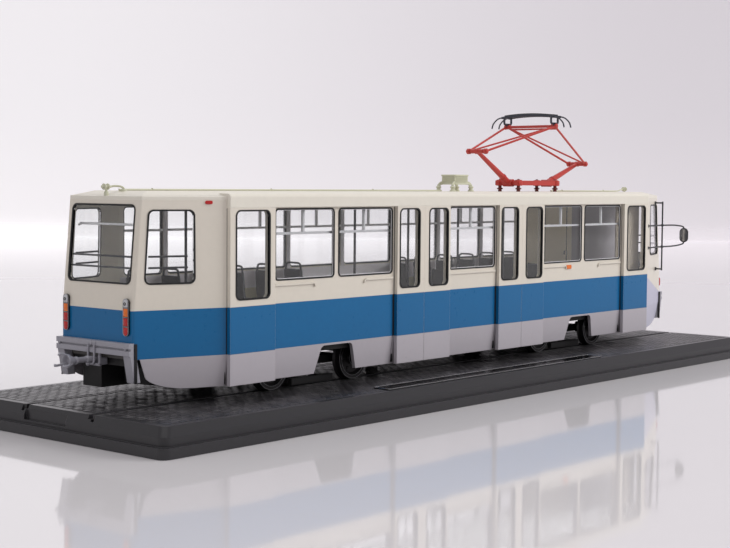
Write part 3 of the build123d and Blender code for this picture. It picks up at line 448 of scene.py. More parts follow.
def torus(centre: Point, radius: float, wire: float, axis: Axis, sides: int = 40, around: int = 8) -> Shape:
    """A round wire ring: a small circle turned about the axis."""
    return turned(circle(wire, around) + (radius, 0.0), centre, axis, sides, looped=True)


def coil(start: Point, end: Point, radius: float, wire: float, turns: float, up: Point) -> Shape:
    """A coil spring: a point that turns about a line while it moves along, with a round wire on it.

    Args:
        start: where the spring starts.
        end: where it ends.
        radius: radius of its middle line.
        wire: radius of the wire.
        turns: count of turns.
        up: a direction that it doesn't run along.

    Returns:
        The closed spring.
    """
    start, end = np.asarray(start, float), np.asarray(end, float)
    along = (end - start) / np.linalg.norm(end - start)
    first = np.cross(along, up)
    first /= np.linalg.norm(first)
    second = np.cross(along, first)
    share = np.linspace(0.0, 1.0, int(turns * COIL_STEPS))[:, None]
    angle = 2 * math.pi * turns * share
    path = start + (end - start) * share + radius * (np.cos(angle) * first + np.sin(angle) * second)
    return sweep(path, circle(wire, 6), along)


def bolt(centre: Point, axis: Axis, sign: int, radius: float = 0.45, height: float = 0.3) -> Shape:
    """A hexagon bolt head on a washer.

    Args:
        centre: the point that it stands on.
        axis: the axis that it stands along.
        sign: 1 to stand out along the axis, -1 against it.
        radius: the head's radius.
        height: the head's height.

    Returns:
        The bolt head.
    """
    washer, step = radius * 1.35, height * 0.3
    head = [(washer, -0.05), (washer, step), (radius, step), (radius, height * 0.85), (radius * 0.8, height)]
    return turned(facing(head, sign), centre, axis, sides=6)


# ---------------------------------------------------------------- finishes


class Nodes:
    """A hand for filling a node tree."""

    def __init__(self, tree: bpy.types.NodeTree) -> None:
        """Empties the tree and keeps it."""
        self.tree = tree
        tree.nodes.clear()

    def feed(self, socket: Socket, value: object) -> None:
        """Links a socket to the output that is given, or sets its plain value.

        Args:
            socket: the socket.
            value: an output, or a plain value.
        """
        if isinstance(value, Socket):
            self.tree.links.new(value, socket)
        else:
            socket.default_value = value

    def add(self, kind: str, inputs: dict[str | int, object] | None = None, **settings: object) -> bpy.types.Node:
        """Adds a node.

        Args:
            kind: the node's type without its ShaderNode prefix.
            inputs: socket name or number to a value, or to an output that feeds it.
            settings: the node's own properties.

        Returns:
            The node.
        """
        node = self.tree.nodes.new(("" if kind.startswith("NodeGroup") else "ShaderNode") + kind)
        for key, value in settings.items():
            setattr(node, key, value)
        for key, value in (inputs or {}).items():
            self.feed(node.inputs[key], value)
        return node

    def math(self, operation: str, *values: object, clamp: bool = False) -> Socket:
        """The output of a Math node."""
        return self.add("Math", dict(enumerate(values)), operation=operation, use_clamp=clamp).outputs[0]

    def place(self) -> Socket:
        """The shaded point's place, in metres."""
        return self.add("TexCoord").outputs["Object"]

    def split(self, vector: Socket) -> Sockets:
        """A vector's X, Y and Z."""
        return self.add("SeparateXYZ", {0: vector}).outputs

    def spread(self, value: object, low: float, high: float, first: float = 0.0, last: float = 1.0) -> Socket:
        """A smooth step from first to last while the value goes from low to high."""
        inputs = {"Value": value, "From Min": low, "From Max": high, "To Min": first, "To Max": last}
        return self.add("MapRange", inputs, interpolation_type="SMOOTHSTEP").outputs["Result"]

    def noise(self, scale: object, detail: float = 2.0, roughness: float = 0.5) -> Socket:
        """The value of a noise texture at the shaded point."""
        inputs = {"Vector": self.place(), "Scale": scale, "Detail": detail, "Roughness": roughness}
        return self.add("TexNoise", inputs).outputs[0]

    def mix(self, share: object, *colours: object) -> Socket:
        """A mix of two colours.

        Args:
            share: the second colour's share.
            colours: both colours, as outputs or as red, green and blue.

        Returns:
            The mixed colour.
        """
        node = self.add("Mix", {MIX_SHARE: share}, data_type="RGBA", clamp_factor=True)
        for index, colour in zip(MIX_COLOURS, colours):
            self.feed(node.inputs[index], colour if isinstance(colour, Socket) else (*colour[:3], 1.0))
        return node.outputs[MIX_RESULT]

    def group(self, tree: bpy.types.NodeTree, **inputs: object) -> Sockets:
        """Places a node group with its own values and gives its outputs."""
        return self.add("Group", inputs, node_tree=tree).outputs


def node_group(name: str, inputs: dict[str, tuple[str, object]], outputs: dict[str, str]) -> Callable:
    """Turns a function that fills a node group into one that gives the group, built when first asked for.

    Args:
        name: the group's name.
        inputs: socket name to its kind and default.
        outputs: socket name to its kind.

    Returns:
        The decorator. The function under it takes a hand and the given values, and returns the results by name.
    """

    def wrap(fill: Callable[[Nodes, Sockets], Results]) -> Callable[[], bpy.types.NodeTree]:
        """Makes the function that gives the group.

        Args:
            fill: gives the group's results.

        Returns:
            The function.
        """

        @functools.cache
        def build() -> bpy.types.NodeTree:
            """Makes the group's sockets and fills it with its nodes.

            Returns:
                The group.
            """
            tree = bpy.data.node_groups.new(name, "ShaderNodeTree")
            for label, (kind, default) in inputs.items():
                socket = tree.interface.new_socket(label, in_out="INPUT", socket_type="NodeSocket" + kind)
                socket.default_value = default
            for label, kind in outputs.items():
                tree.interface.new_socket(label, in_out="OUTPUT", socket_type="NodeSocket" + kind)
            hand = Nodes(tree)
            hand.add("NodeGroupOutput", fill(hand, hand.add("NodeGroupInput").outputs))
            return tree

        return build

    return wrap


@node_group(
    "surface grain",
    {"Cell": ("Float", 0.0003), "Mottle": ("Float", 0.05), "Base": ("Float", 0.4), "Spread": ("Float", 0.08)},
    {"Tone": "Float", "Roughness": "Float", "Height": "Float"},
)
def surface_grain(hand: Nodes, given: Sockets) -> Results:
    """Moulded or painted surface: a broad mottle for the tone, a fine noise for height and gloss.

    Args:
        hand: the group's hand.
        given: the group's given values.

    Returns:
        The results by name.
    """
    scale = hand.math("DIVIDE", 1.0, given["Cell"])
    fine = hand.noise(scale, 3.0, 0.6)
    middle = hand.math("MULTIPLY", hand.noise(hand.math("MULTIPLY", scale, 0.11)), 0.6)
    cloud = hand.math("SUBTRACT", hand.math("ADD", middle, hand.math("MULTIPLY", hand.noise(28.0), 0.4)), 0.5)
    tone = hand.math("MULTIPLY_ADD", cloud, hand.math("MULTIPLY", given["Mottle"], 4.0), 1.0)
    gloss = hand.math("ADD", hand.math("MULTIPLY", hand.math("SUBTRACT", fine, 0.5), 0.5), cloud)
    wide = hand.math("MULTIPLY", given["Spread"], 2.0)
    rough = hand.math("MULTIPLY_ADD", gloss, wide, given["Base"], clamp=True)
    return {"Tone": tone, "Roughness": rough, "Height": fine}


@node_group("softened edges", {"Radius": ("Float", 0.0002)}, {"Normal": "Vector", "Edge": "Float"})
def softened_edges(hand: Nodes, given: Sockets) -> Results:
    """Softened edges: the averaged normal round a point, and a mask of how far it turns from the face's own.

    Args:
        hand: the group's hand.
        given: the group's given values.

    Returns:
        The results by name.
    """
    soft = hand.add("Bevel", {"Radius": given["Radius"]}, samples=4).outputs[0]
    face = hand.add("NewGeometry").outputs["Normal"]
    dot = hand.add("VectorMath", {0: soft, 1: face}, operation="DOT_PRODUCT").outputs["Value"]
    return {"Normal": soft, "Edge": hand.spread(hand.math("SUBTRACT", 1.0, dot), 0.02, 0.25)}


@node_group(
    "painted bands",
    {"Foot": ("Color", (0.4, 0.4, 0.4, 1)), "Waist": ("Color", (0.03, 0.15, 0.35, 1)),
     "Upper": ("Color", (0.7, 0.66, 0.55, 1)), "Low": ("Float", 0.0266), "High": ("Float", 0.0429)},
    {"Color": "Color", "Line": "Float"},
)
def painted_bands(hand: Nodes, given: Sockets) -> Results:
    """Painted bands by height: foot, waist and upper colour, with a hair line of shade where two meet.

    Args:
        hand: the group's hand.
        given: the group's given values.

    Returns:
        The results by name.
    """
    height = hand.split(hand.place())["Z"]
    masks, lines = [], []
    for label in ("Low", "High"):
        above = hand.math("SUBTRACT", height, given[label])
        masks.append(hand.spread(above, -0.00004, 0.00004))
        lines.append(hand.spread(hand.math("ABSOLUTE", above), 0.00004, 0.00014, 1.0, 0.0))
    lower = hand.mix(masks[0], given["Foot"], given["Waist"])
    return {"Color": hand.mix(masks[1], lower, given["Upper"]), "Line": hand.math("MAXIMUM", *lines)}


@node_group("settled dust", {"Amount": ("Float", 0.1)}, {"Mask": "Float"})
def settled_dust(hand: Nodes, given: Sockets) -> Results:
    """Settled dust: faces that look up, broken up by noise.

    Args:
        hand: the group's hand.
        given: the group's given values.

    Returns:
        The results by name.
    """
    up = hand.spread(hand.split(hand.add("NewGeometry").outputs["Normal"])["Z"], 0.5, 1.0)
    cloud = hand.spread(hand.noise(160.0, 4.0, 0.65), 0.38, 0.7)
    return {"Mask": hand.math("MULTIPLY", hand.math("MULTIPLY", up, cloud), given["Amount"])}


@node_group("moulded ribs", {"Pitch": ("Float", 0.0004)}, {"Height": "Float"})
def moulded_ribs(hand: Nodes, given: Sockets) -> Results:
    """Moulded ribs: a sine of the height times one of the crossways place, for lenses.

    Args:
        hand: the group's hand.
        given: the group's given values.

    Returns:
        The results by name.
    """
    place = hand.split(hand.place())
    turn = hand.math("DIVIDE", 2 * math.pi, given["Pitch"])
    waves = [hand.math("SINE", hand.math("MULTIPLY", place[name], turn)) for name in ("Y", "Z")]
    return {"Height": hand.math("MULTIPLY", *waves)}


DUST = (0.5, 0.48, 0.47)
JOINT_SHADE = (0.05, 0.05, 0.06)
BUMP_HEIGHT = 0.04


@dataclass(frozen=True)
class Finish:
    """A finish of one colour, with its grain, its softened edges with a painted highlight on them, and its dust."""

    name: str
    colour: Colour
    roughness: float = 0.42
    metallic: float = 0.0
    coat: float = 0.0
    coat_roughness: float = 0.12
    specular: float = 0.5
    cell: float = 0.22
    mottle: float = 0.035
    spread: float = 0.07
    bump: float = 0.05
    edge: float = 0.18
    # How much lighter the painted highlight on the softened edges is.
    edge_light: float = 1.25
    dust: float = 0.04

    def material(self) -> bpy.types.Material:
        """The finish as a material, built the first time it is asked for.

        Returns:
            The material.
        """
        found = bpy.data.materials.get(self.name)
        if found:
            return found
        made = bpy.data.materials.new(self.name)
        made.use_nodes = True
        made.diffuse_color = (*self.colour, 1.0)
        hand = Nodes(made.node_tree)
        shader = hand.add("BsdfPrincipled")
        self.fill(hand, shader)
        hand.add("OutputMaterial", {"Surface": self.surface(hand, shader)})
        return made

    def fill(self, hand: Nodes, shader: bpy.types.Node) -> None:
        """Feeds the shader with the grain, the painted edge highlight, the dust and the bump.

        Args:
            hand: the material's hand.
            shader: its Principled node.
        """
        grain = hand.group(
            surface_grain(), Cell=self.cell * MM, Mottle=self.mottle, Base=self.roughness, Spread=self.spread)
        source = {"Value": grain["Tone"], "Color": self.colour_source(hand)}
        tinted = hand.add("HueSaturation", source).outputs[0]
        height = self.height_source(hand, grain["Height"])
        relief = {"Strength": self.bump, "Distance": BUMP_HEIGHT * MM, "Height": height}
        if self.edge:
            edges = hand.group(softened_edges(), Radius=self.edge * MM)
            # Painted highlight: the softened edges are mixed towards a lighter copy of the colour.
            lit = tuple(min(1.0, c * self.edge_light + 0.01) for c in self.colour)
            tinted = hand.mix(hand.math("MULTIPLY", edges["Edge"], 0.5), tinted, lit)
            relief["Normal"] = edges["Normal"]
        if self.dust:
            tinted = hand.mix(hand.group(settled_dust(), Amount=self.dust)["Mask"], tinted, DUST)
        values = {
            "Base Color": tinted, "Roughness": grain["Roughness"], "Metallic": self.metallic,
            "Normal": hand.add("Bump", relief).outputs[0], "Coat Weight": self.coat,
            "Coat Roughness": self.coat_roughness, "Specular IOR Level": self.specular}
        for key, value in values.items():
            hand.feed(shader.inputs[key], value)

    def colour_source(self, hand: Nodes) -> object:
        """The colour before mottle and dust."""
        return (*self.colour, 1.0)

    def height_source(self, hand: Nodes, grain: Socket) -> Socket:
        """The height that the bump reads."""
        return grain

    def surface(self, hand: Nodes, shader: bpy.types.Node) -> Socket:
        """The shader that the output takes."""
        return shader.outputs[0]


@dataclass(frozen=True)
class BandedPaint(Finish):
    """Paint in three bands by height, as on the doors, which run from the foot to the roof."""

    foot: Colour = (0.4, 0.4, 0.4)
    waist: Colour = (0.03, 0.15, 0.35)
    low: float = SKIRT_TOP
    high: float = BELT

    def colour_source(self, hand: Nodes) -> object:
        """The band's colour, a little darker in the hair line where two bands meet.

        Args:
            hand: the material's hand.

        Returns:
            The colour's output.
        """
        bands = hand.group(
            painted_bands(), Foot=(*self.foot, 1.0), Waist=(*self.waist, 1.0), Upper=(*self.colour, 1.0),
            Low=(self.low + RAIL_TOP) * MM, High=(self.high + RAIL_TOP) * MM)
        return hand.mix(hand.math("MULTIPLY", bands["Line"], 0.35), bands["Color"], JOINT_SHADE)


@dataclass(frozen=True)
class TippedColour(Finish):
    """A colour that turns to another between two places along one axis: pale lilac on the front facets between corner
    and nose, and painted shade on the cab partition's right part.
    """

    tip: Colour = (0.50, 0.49, 0.61)
    tip_axis: str = "X"
    tip_start: float = 142.0
    tip_end: float = 174.7

    def colour_source(self, hand: Nodes) -> object:
        """The base colour, or the tip colour between the two places.

        Args:
            hand: the material's hand.

        Returns:
            The colour's output.
        """
        along = hand.split(hand.place())[self.tip_axis]
        after = hand.math("GREATER_THAN", along, self.tip_start * MM)
        before = hand.math("LESS_THAN", along, self.tip_end * MM)
        return hand.mix(hand.math("MULTIPLY", after, before), self.colour, self.tip)


@dataclass(frozen=True)
class Paving(Finish):
    """Moulded setts: each one a little lighter or darker than the next, by the cell that it lies in."""

    across: float = COURSE
    along: float = SETT

    def colour_source(self, hand: Nodes) -> object:
        """The black of the moulding, varied by a white noise on the place divided by a sett's size and rounded.

        Args:
            hand: the material's hand.

        Returns:
            The colour's output.
        """
        sizes = {0: hand.place(), 1: (self.across * MM, self.along * MM, 1.0)}
        cell = hand.add("VectorMath", sizes, operation="DIVIDE").outputs[0]
        step = hand.add("VectorMath", {0: cell}, operation="FLOOR").outputs[0]
        value = hand.add("TexWhiteNoise", {"Vector": step}).outputs["Value"]
        return hand.mix(hand.spread(value, 0.0, 1.0), self.colour, tuple(c * 1.9 for c in self.colour))


@dataclass(frozen=True)
class Glass(Finish):
    """A clear moulding that lets the light through to the saloon."""

    tint: float = 0.96

    def surface(self, hand: Nodes, shader: bpy.types.Node) -> Socket:
        """Clear for shadow rays, glass for the rest.

        Args:
            hand: the material's hand.
            shader: its Principled node.

        Returns:
            The shader's output.
        """
        shader.inputs["Transmission Weight"].default_value = 1.0
        shader.inputs["IOR"].default_value = 1.45
        through = hand.add("BsdfTransparent", {0: (self.tint, self.tint, self.tint, 1.0)})
        shadow = hand.add("LightPath").outputs["Is Shadow Ray"]
        return hand.add("MixShader", {0: shadow, 1: shader.outputs[0], 2: through.outputs[0]}).outputs[0]


@dataclass(frozen=True)
class Lens(Finish):
    """A coloured lens with moulded ribs, part clear."""

    pitch: float = 0.55
    through: float = 0.35

    def height_source(self, hand: Nodes, grain: Socket) -> Socket:
        """The ribs."""
        return hand.group(moulded_ribs(), Pitch=self.pitch * MM)["Height"]

    def surface(self, hand: Nodes, shader: bpy.types.Node) -> Socket:
        """The shader with its share of transmission."""
        shader.inputs["Transmission Weight"].default_value = self.through
        return shader.outputs[0]


CREAM = (0.74, 0.685, 0.595)
BLUE = (0.005, 0.130, 0.32)
GREY = (0.47, 0.44, 0.475)


class Finishes:
    """Every finish of the model."""

    cream = Finish("cream_paint", CREAM, 0.34, coat=0.25, mottle=0.02, bump=0.04)
    roof = Finish("roof_paint", (0.77, 0.73, 0.64), 0.42, mottle=0.025, bump=0.05, edge=0.3)
    # The blue and the grey turn pale lilac on the front facets, between corner and nose.
    blue = TippedColour("blue_paint", BLUE, 0.3, coat=0.1, specular=0.3, mottle=0.04, bump=0.04, edge_light=1.6)
    skirt = TippedColour("grey_paint", GREY, 0.36, coat=0.15, mottle=0.02, bump=0.04)
    door = BandedPaint(
        "banded_door_paint", CREAM, 0.3, coat=0.1, specular=0.35, mottle=0.02, bump=0.04, foot=GREY, waist=BLUE)
    bumper = Finish("bumper_paint", (0.34, 0.335, 0.375), 0.38, edge=0.25, edge_light=1.5)
    white = Finish("white_moulding", (0.92, 0.91, 0.93), 0.4, edge=0.0)
    # Painted shade: the cab partition turns dark purple-grey from y -40 to -1 mm, where it lies in shadow.
    beige = TippedColour(
        "cab_moulding", (0.95, 0.84, 0.62), 0.5, mottle=0.04, tip=(0.36, 0.33, 0.36), tip_axis="Y", tip_start=-40.0,
        tip_end=-1.0)
    screen = Finish("cab_screen_moulding", (0.36, 0.31, 0.25), 0.5, mottle=0.05, edge=0.0)
    lining = Finish("grey_lining", (0.86, 0.82, 0.86), 0.5, mottle=0.04, edge=0.0)
    foot_lining = Finish("brown_lining", (0.74, 0.69, 0.46), 0.55, mottle=0.06, edge=0.0)
    plinth = Finish(
        "plinth_moulding", (0.024, 0.023, 0.026), 0.3, cell=0.16, mottle=0.08, bump=0.02, spread=0.03, edge=0.3,
        edge_light=4.0, dust=0.03)
    paving = Paving(
        "paving_moulding", (0.016, 0.015, 0.017), 0.32, cell=0.3, mottle=0.10, bump=0.1, edge=0.0, spread=0.14,
        dust=0.08)
    plate = Finish(
        "plate_gloss", (0.008, 0.008, 0.009), 0.12, coat=0.6, mottle=0.0, bump=0.01, edge=0.1, edge_light=6.0,
        dust=0.02)
    rail = Finish("rail_dull", (0.055, 0.052, 0.055), 0.42, metallic=0.6, cell=0.12, edge=0.0)
    rim = Finish("thin_rim", (0.50, 0.50, 0.52), 0.3, metallic=1.0, cell=0.1, edge=0.0, dust=0.0)
    mirror = Finish("mirror_face", (0.34, 0.34, 0.36), 0.18, metallic=0.9, cell=0.3, edge=0.0, dust=0.0)
    wheel = Finish("wheel_dark", (0.045, 0.043, 0.045), 0.42, metallic=0.5, cell=0.15, edge=0.1, edge_light=2.0)
    panto_dark = Finish("dark_red_feet", (0.16, 0.035, 0.03), 0.5, cell=0.15, edge=0.0)
    bright = Finish("polished_rim", (0.72, 0.72, 0.73), 0.22, metallic=1.0, cell=0.1, edge=0.0, dust=0.0)
    steel = Finish("turned_steel", (0.16, 0.155, 0.155), 0.38, metallic=0.8, cell=0.15, edge=0.1)
    rubber = Finish("black_rubber", (0.013, 0.013, 0.014), 0.55, cell=0.12, bump=0.1, edge=0.0, dust=0.05)
    frame_black = Finish(
        "frame_moulding", (0.014, 0.0135, 0.014), 0.55, cell=0.2, bump=0.15, edge=0.15, edge_light=2.5)
    bars = Finish("dark_bars", (0.035, 0.035, 0.04), 0.4, edge=0.0)
    floor = Finish("saloon_floor_moulding", (0.11, 0.105, 0.10), 0.6, cell=0.4, mottle=0.1, bump=0.2, edge=0.0)
    seat = Finish("seat_moulding", (0.045, 0.045, 0.052), 0.45, cell=0.25, bump=0.12, edge=0.0)
    panto = Finish("red_paint", (0.50, 0.050, 0.040), 0.4, mottle=0.04, edge=0.12, edge_light=1.3)
    collector = Finish("collector_paint", (0.055, 0.058, 0.075), 0.42, metallic=0.3, edge=0.0)
    gear = Finish("gear_paint", (0.60, 0.60, 0.455), 0.45, mottle=0.04, edge=0.12)
    spring = Finish("spring_steel", (0.10, 0.10, 0.105), 0.35, metallic=0.8, edge=0.0)
    glass = Glass(
        "window_moulding", (0.97, 0.98, 0.98), 0.02, cell=20.0, mottle=0.0, spread=0.01, bump=0.01, edge=0.0,
        dust=0.0)
    red = Lens("red_lens", (0.56, 0.005, 0.005), 0.16, bump=0.35, edge=0.0, dust=0.0, coat=0.3, through=0.15)
    amber = Lens("amber_lens", (0.90, 0.18, 0.006), 0.16, bump=0.35, edge=0.0, dust=0.0, coat=0.3, through=0.12)
    clear = Lens("clear_lens", (0.78, 0.79, 0.82), 0.12, bump=0.3, edge=0.0, dust=0.0, coat=0.4, through=0.3)


def make_piece(
    name: str, shape: Shape, finish: Finish, slot: Slot, body: str = ROOT, replaces: Sequence[str] = (),
    crease: float = 38.0,
) -> bpy.types.Object:
    """Makes a piece from its shape.

    Args:
        name: the piece's name.
        shape: its form, in millimetres with heights above the rail top.
        finish: its material.
        slot: the record's slot; not used.
        body: the CAD body that it rides on.
        replaces: CAD nodes that it stands for.
        crease: edges that turn by more degrees than this stay sharp.

    Returns:
        The object, at the origin, with its place in its mesh.
    """
    mesh = bpy.data.meshes.new(name)
    faces = [row for part in shape.faces for row in part.tolist()]
    mesh.from_pydata(((shape.points + (0.0, 0.0, RAIL_TOP)) * MM).tolist(), [], faces)
    mesh.validate()
    mesh.shade_smooth()
    mesh.set_sharp_from_angle(angle=math.radians(crease))
    mesh.materials.append(finish.material())
    made = bpy.data.objects.new(name, mesh)
    bpy.context.scene.collection.objects.link(made)
    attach(made, body)
    if replaces:
        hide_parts(*replaces)
    LOG.info("%s: %d faces on %s", name, len(faces), body)
    return made


def dress(finish: Finish, *nodes: str) -> None:
    """Gives CAD nodes a finish, with their shapes left as they are.

    Args:
        finish: the material.
        nodes: the names of the CAD nodes.
    """
    for node in nodes:
        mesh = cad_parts[node].data
        mesh.materials.clear()
        mesh.materials.append(finish.material())
        LOG.info("%s: %s", node, finish.name)


# ---------------------------------------------------------------- sub-assemblies


@dataclass
class Plinth:
    """The black plinth: paved top, rails, blank nameplate and screw posts."""

    length: float = 382.0
    width: float = 105.0
    border: float = 2.4
    course: float = COURSE
    sett: float = SETT
    joint: float = 0.34
    sett_height: float = 0.16
    shortest: float = 0.8
    rail_inner: float = 15.8
    rail_outer: float = 19.5
    post_x: float = 30.0
    post_clear: float = 4.6
    plate_start: float = -80.4
    plate_end: float = 68.4
    plate_edge: float = -42.9

    def build(self) -> None:
        """Dresses the CAD nodes and adds the paving and the plate's rim."""
        dress(Finishes.plinth, "plinth")
        dress(Finishes.rail, "rails")
        dress(Finishes.plate, "nameplate")
        dress(Finishes.steel, "fixing_posts")
        make_piece("paving_setts", self.setts(), Finishes.paving, Slot.PLINTH, crease=20.0)
        make_piece("nameplate_rim", self.plate_rim(), Finishes.bright, Slot.PLATE)

    def centres(self) -> np.ndarray:
        """Places of the setts: courses across the track, each moved half a sett from the last.

        Returns:
            Rows of x and y.
        """
        last_column = int((self.length / 2 - self.border) / self.course)
        last_row = int((self.width / 2 - self.border) / self.sett) + 1
        columns, rows = np.arange(-last_column, last_column + 1), np.arange(-last_row, last_row + 1)
        column, row = np.meshgrid(columns, rows, indexing="ij")
        return np.stack([column * self.course, (row + 0.5 * (column % 2)) * self.sett], -1).reshape(-1, 2)

    def spans(self) -> np.ndarray:
        """The free span of every sett.

        A sett that a rail, the plate or the border cuts is trimmed to the free span on its side of it. A span that
        is too short or lies at a post is left out.

        Returns:
            Rows of a sett's x and of where it starts and ends across the track.
        """
        x, y = self.centres().T
        limit = self.width / 2 - self.border
        in_plate = (x > self.plate_start - self.course / 2) & (x < self.plate_end + self.course / 2)
        rows = []
        for low, high in ((-limit, -self.rail_outer), (-self.rail_inner, self.rail_inner), (self.rail_outer, limit)):
            start = np.maximum(y - self.sett / 2 + self.joint / 2, low)
            end = np.minimum(y + self.sett / 2 - self.joint / 2, high)
            start = np.where(in_plate, np.maximum(start, self.plate_edge), start)
            rows.append(np.stack([x, start, end], -1))
        spans = np.concatenate(rows)
        spans = spans[spans[:, 2] - spans[:, 1] > self.shortest]
        for sign in SIDES:
            middle = (spans[:, 1] + spans[:, 2]) / 2
            spans = spans[np.hypot(spans[:, 0] - sign * self.post_x, middle) > self.post_clear]
        return spans

    def setts(self) -> Shape:
        """The setts: one frustum with a crowned top, fitted to every free span, with its corners a little uneven.

        Returns:
            All the setts as one shape.
        """
        spans = self.spans()
        draw = np.random.default_rng(SEED)
        middle = (spans[:, 1] + spans[:, 2]) / 2
        half_x, half_y = (self.course - self.joint) / 2, (spans[:, 2] - spans[:, 1]) / 2
        sign = np.array([(-1, -1), (1, -1), (1, 1), (-1, 1)], float)
        rings = []
        for level, inset in ((-0.05, 0.0), (self.sett_height * 0.55, 0.04), (self.sett_height, 0.26)):
            ring_x = spans[:, 0, None] + sign[None, :, 0] * (half_x - inset)
            ring_y = middle[:, None] + sign[None, :, 1] * (half_y[:, None] - inset)
            lift = draw.normal(0.0, 0.012, (len(spans), 1)) + draw.normal(0.0, 0.010, (len(spans), 4))
            height = np.full_like(ring_x, level) + (lift if level > 0 else 0.0)
            rings.append(np.stack([ring_x, ring_y, height], -1))
        side = np.arange(4)
        beside = (side + 1) % 4
        quads = [np.stack([side, beside, beside + 4, side + 4], -1) + 4 * ring for ring in range(2)]
        template = np.concatenate([*quads, [[3, 2, 1, 0]], [[8, 9, 10, 11]]])
        faces = (template[None] + 12 * np.arange(len(spans))[:, None, None]).reshape(-1, 4)
        return Shape(np.concatenate(rings, 1).reshape(-1, 3), (faces,))

    def plate_rim(self) -> Shape:
        """The thin bright edge of the blank plate."""
        return band(Place((-6.0, -47.3, 0.5)), outline(148.0, 8.0, 1.0), 0.22, -0.05, 0.07, 0.03)


class Bay(Enum):
    """What a bay of the right side holds."""

    DOOR = "single door"
    PAIR = "pair of doors"
    WINDOW = "window"


@dataclass
class Opening:
    """A window or door of the right side: its kind, its start and its width."""

    kind: Bay
    start: float
    width: float

    @property
    def end(self) -> float:
        """The front end."""
        return self.start + self.width


BAYS = [
    Opening(Bay.DOOR, -141.7, 22.3), Opening(Bay.WINDOW, -118.18, 31.9), Opening(Bay.WINDOW, -84.18, 31.9),
    Opening(Bay.PAIR, -51.07, 33.9), Opening(Bay.WINDOW, -15.95, 31.9), Opening(Bay.PAIR, 17.17, 33.9),
    Opening(Bay.WINDOW, 52.28, 31.9), Opening(Bay.WINDOW, 86.28, 31.9), Opening(Bay.DOOR, 119.4, 22.3)]
WINDOWS = [bay for bay in BAYS if bay.kind is Bay.WINDOW]
DOORS = [bay for bay in BAYS if bay.kind is not Bay.WINDOW]


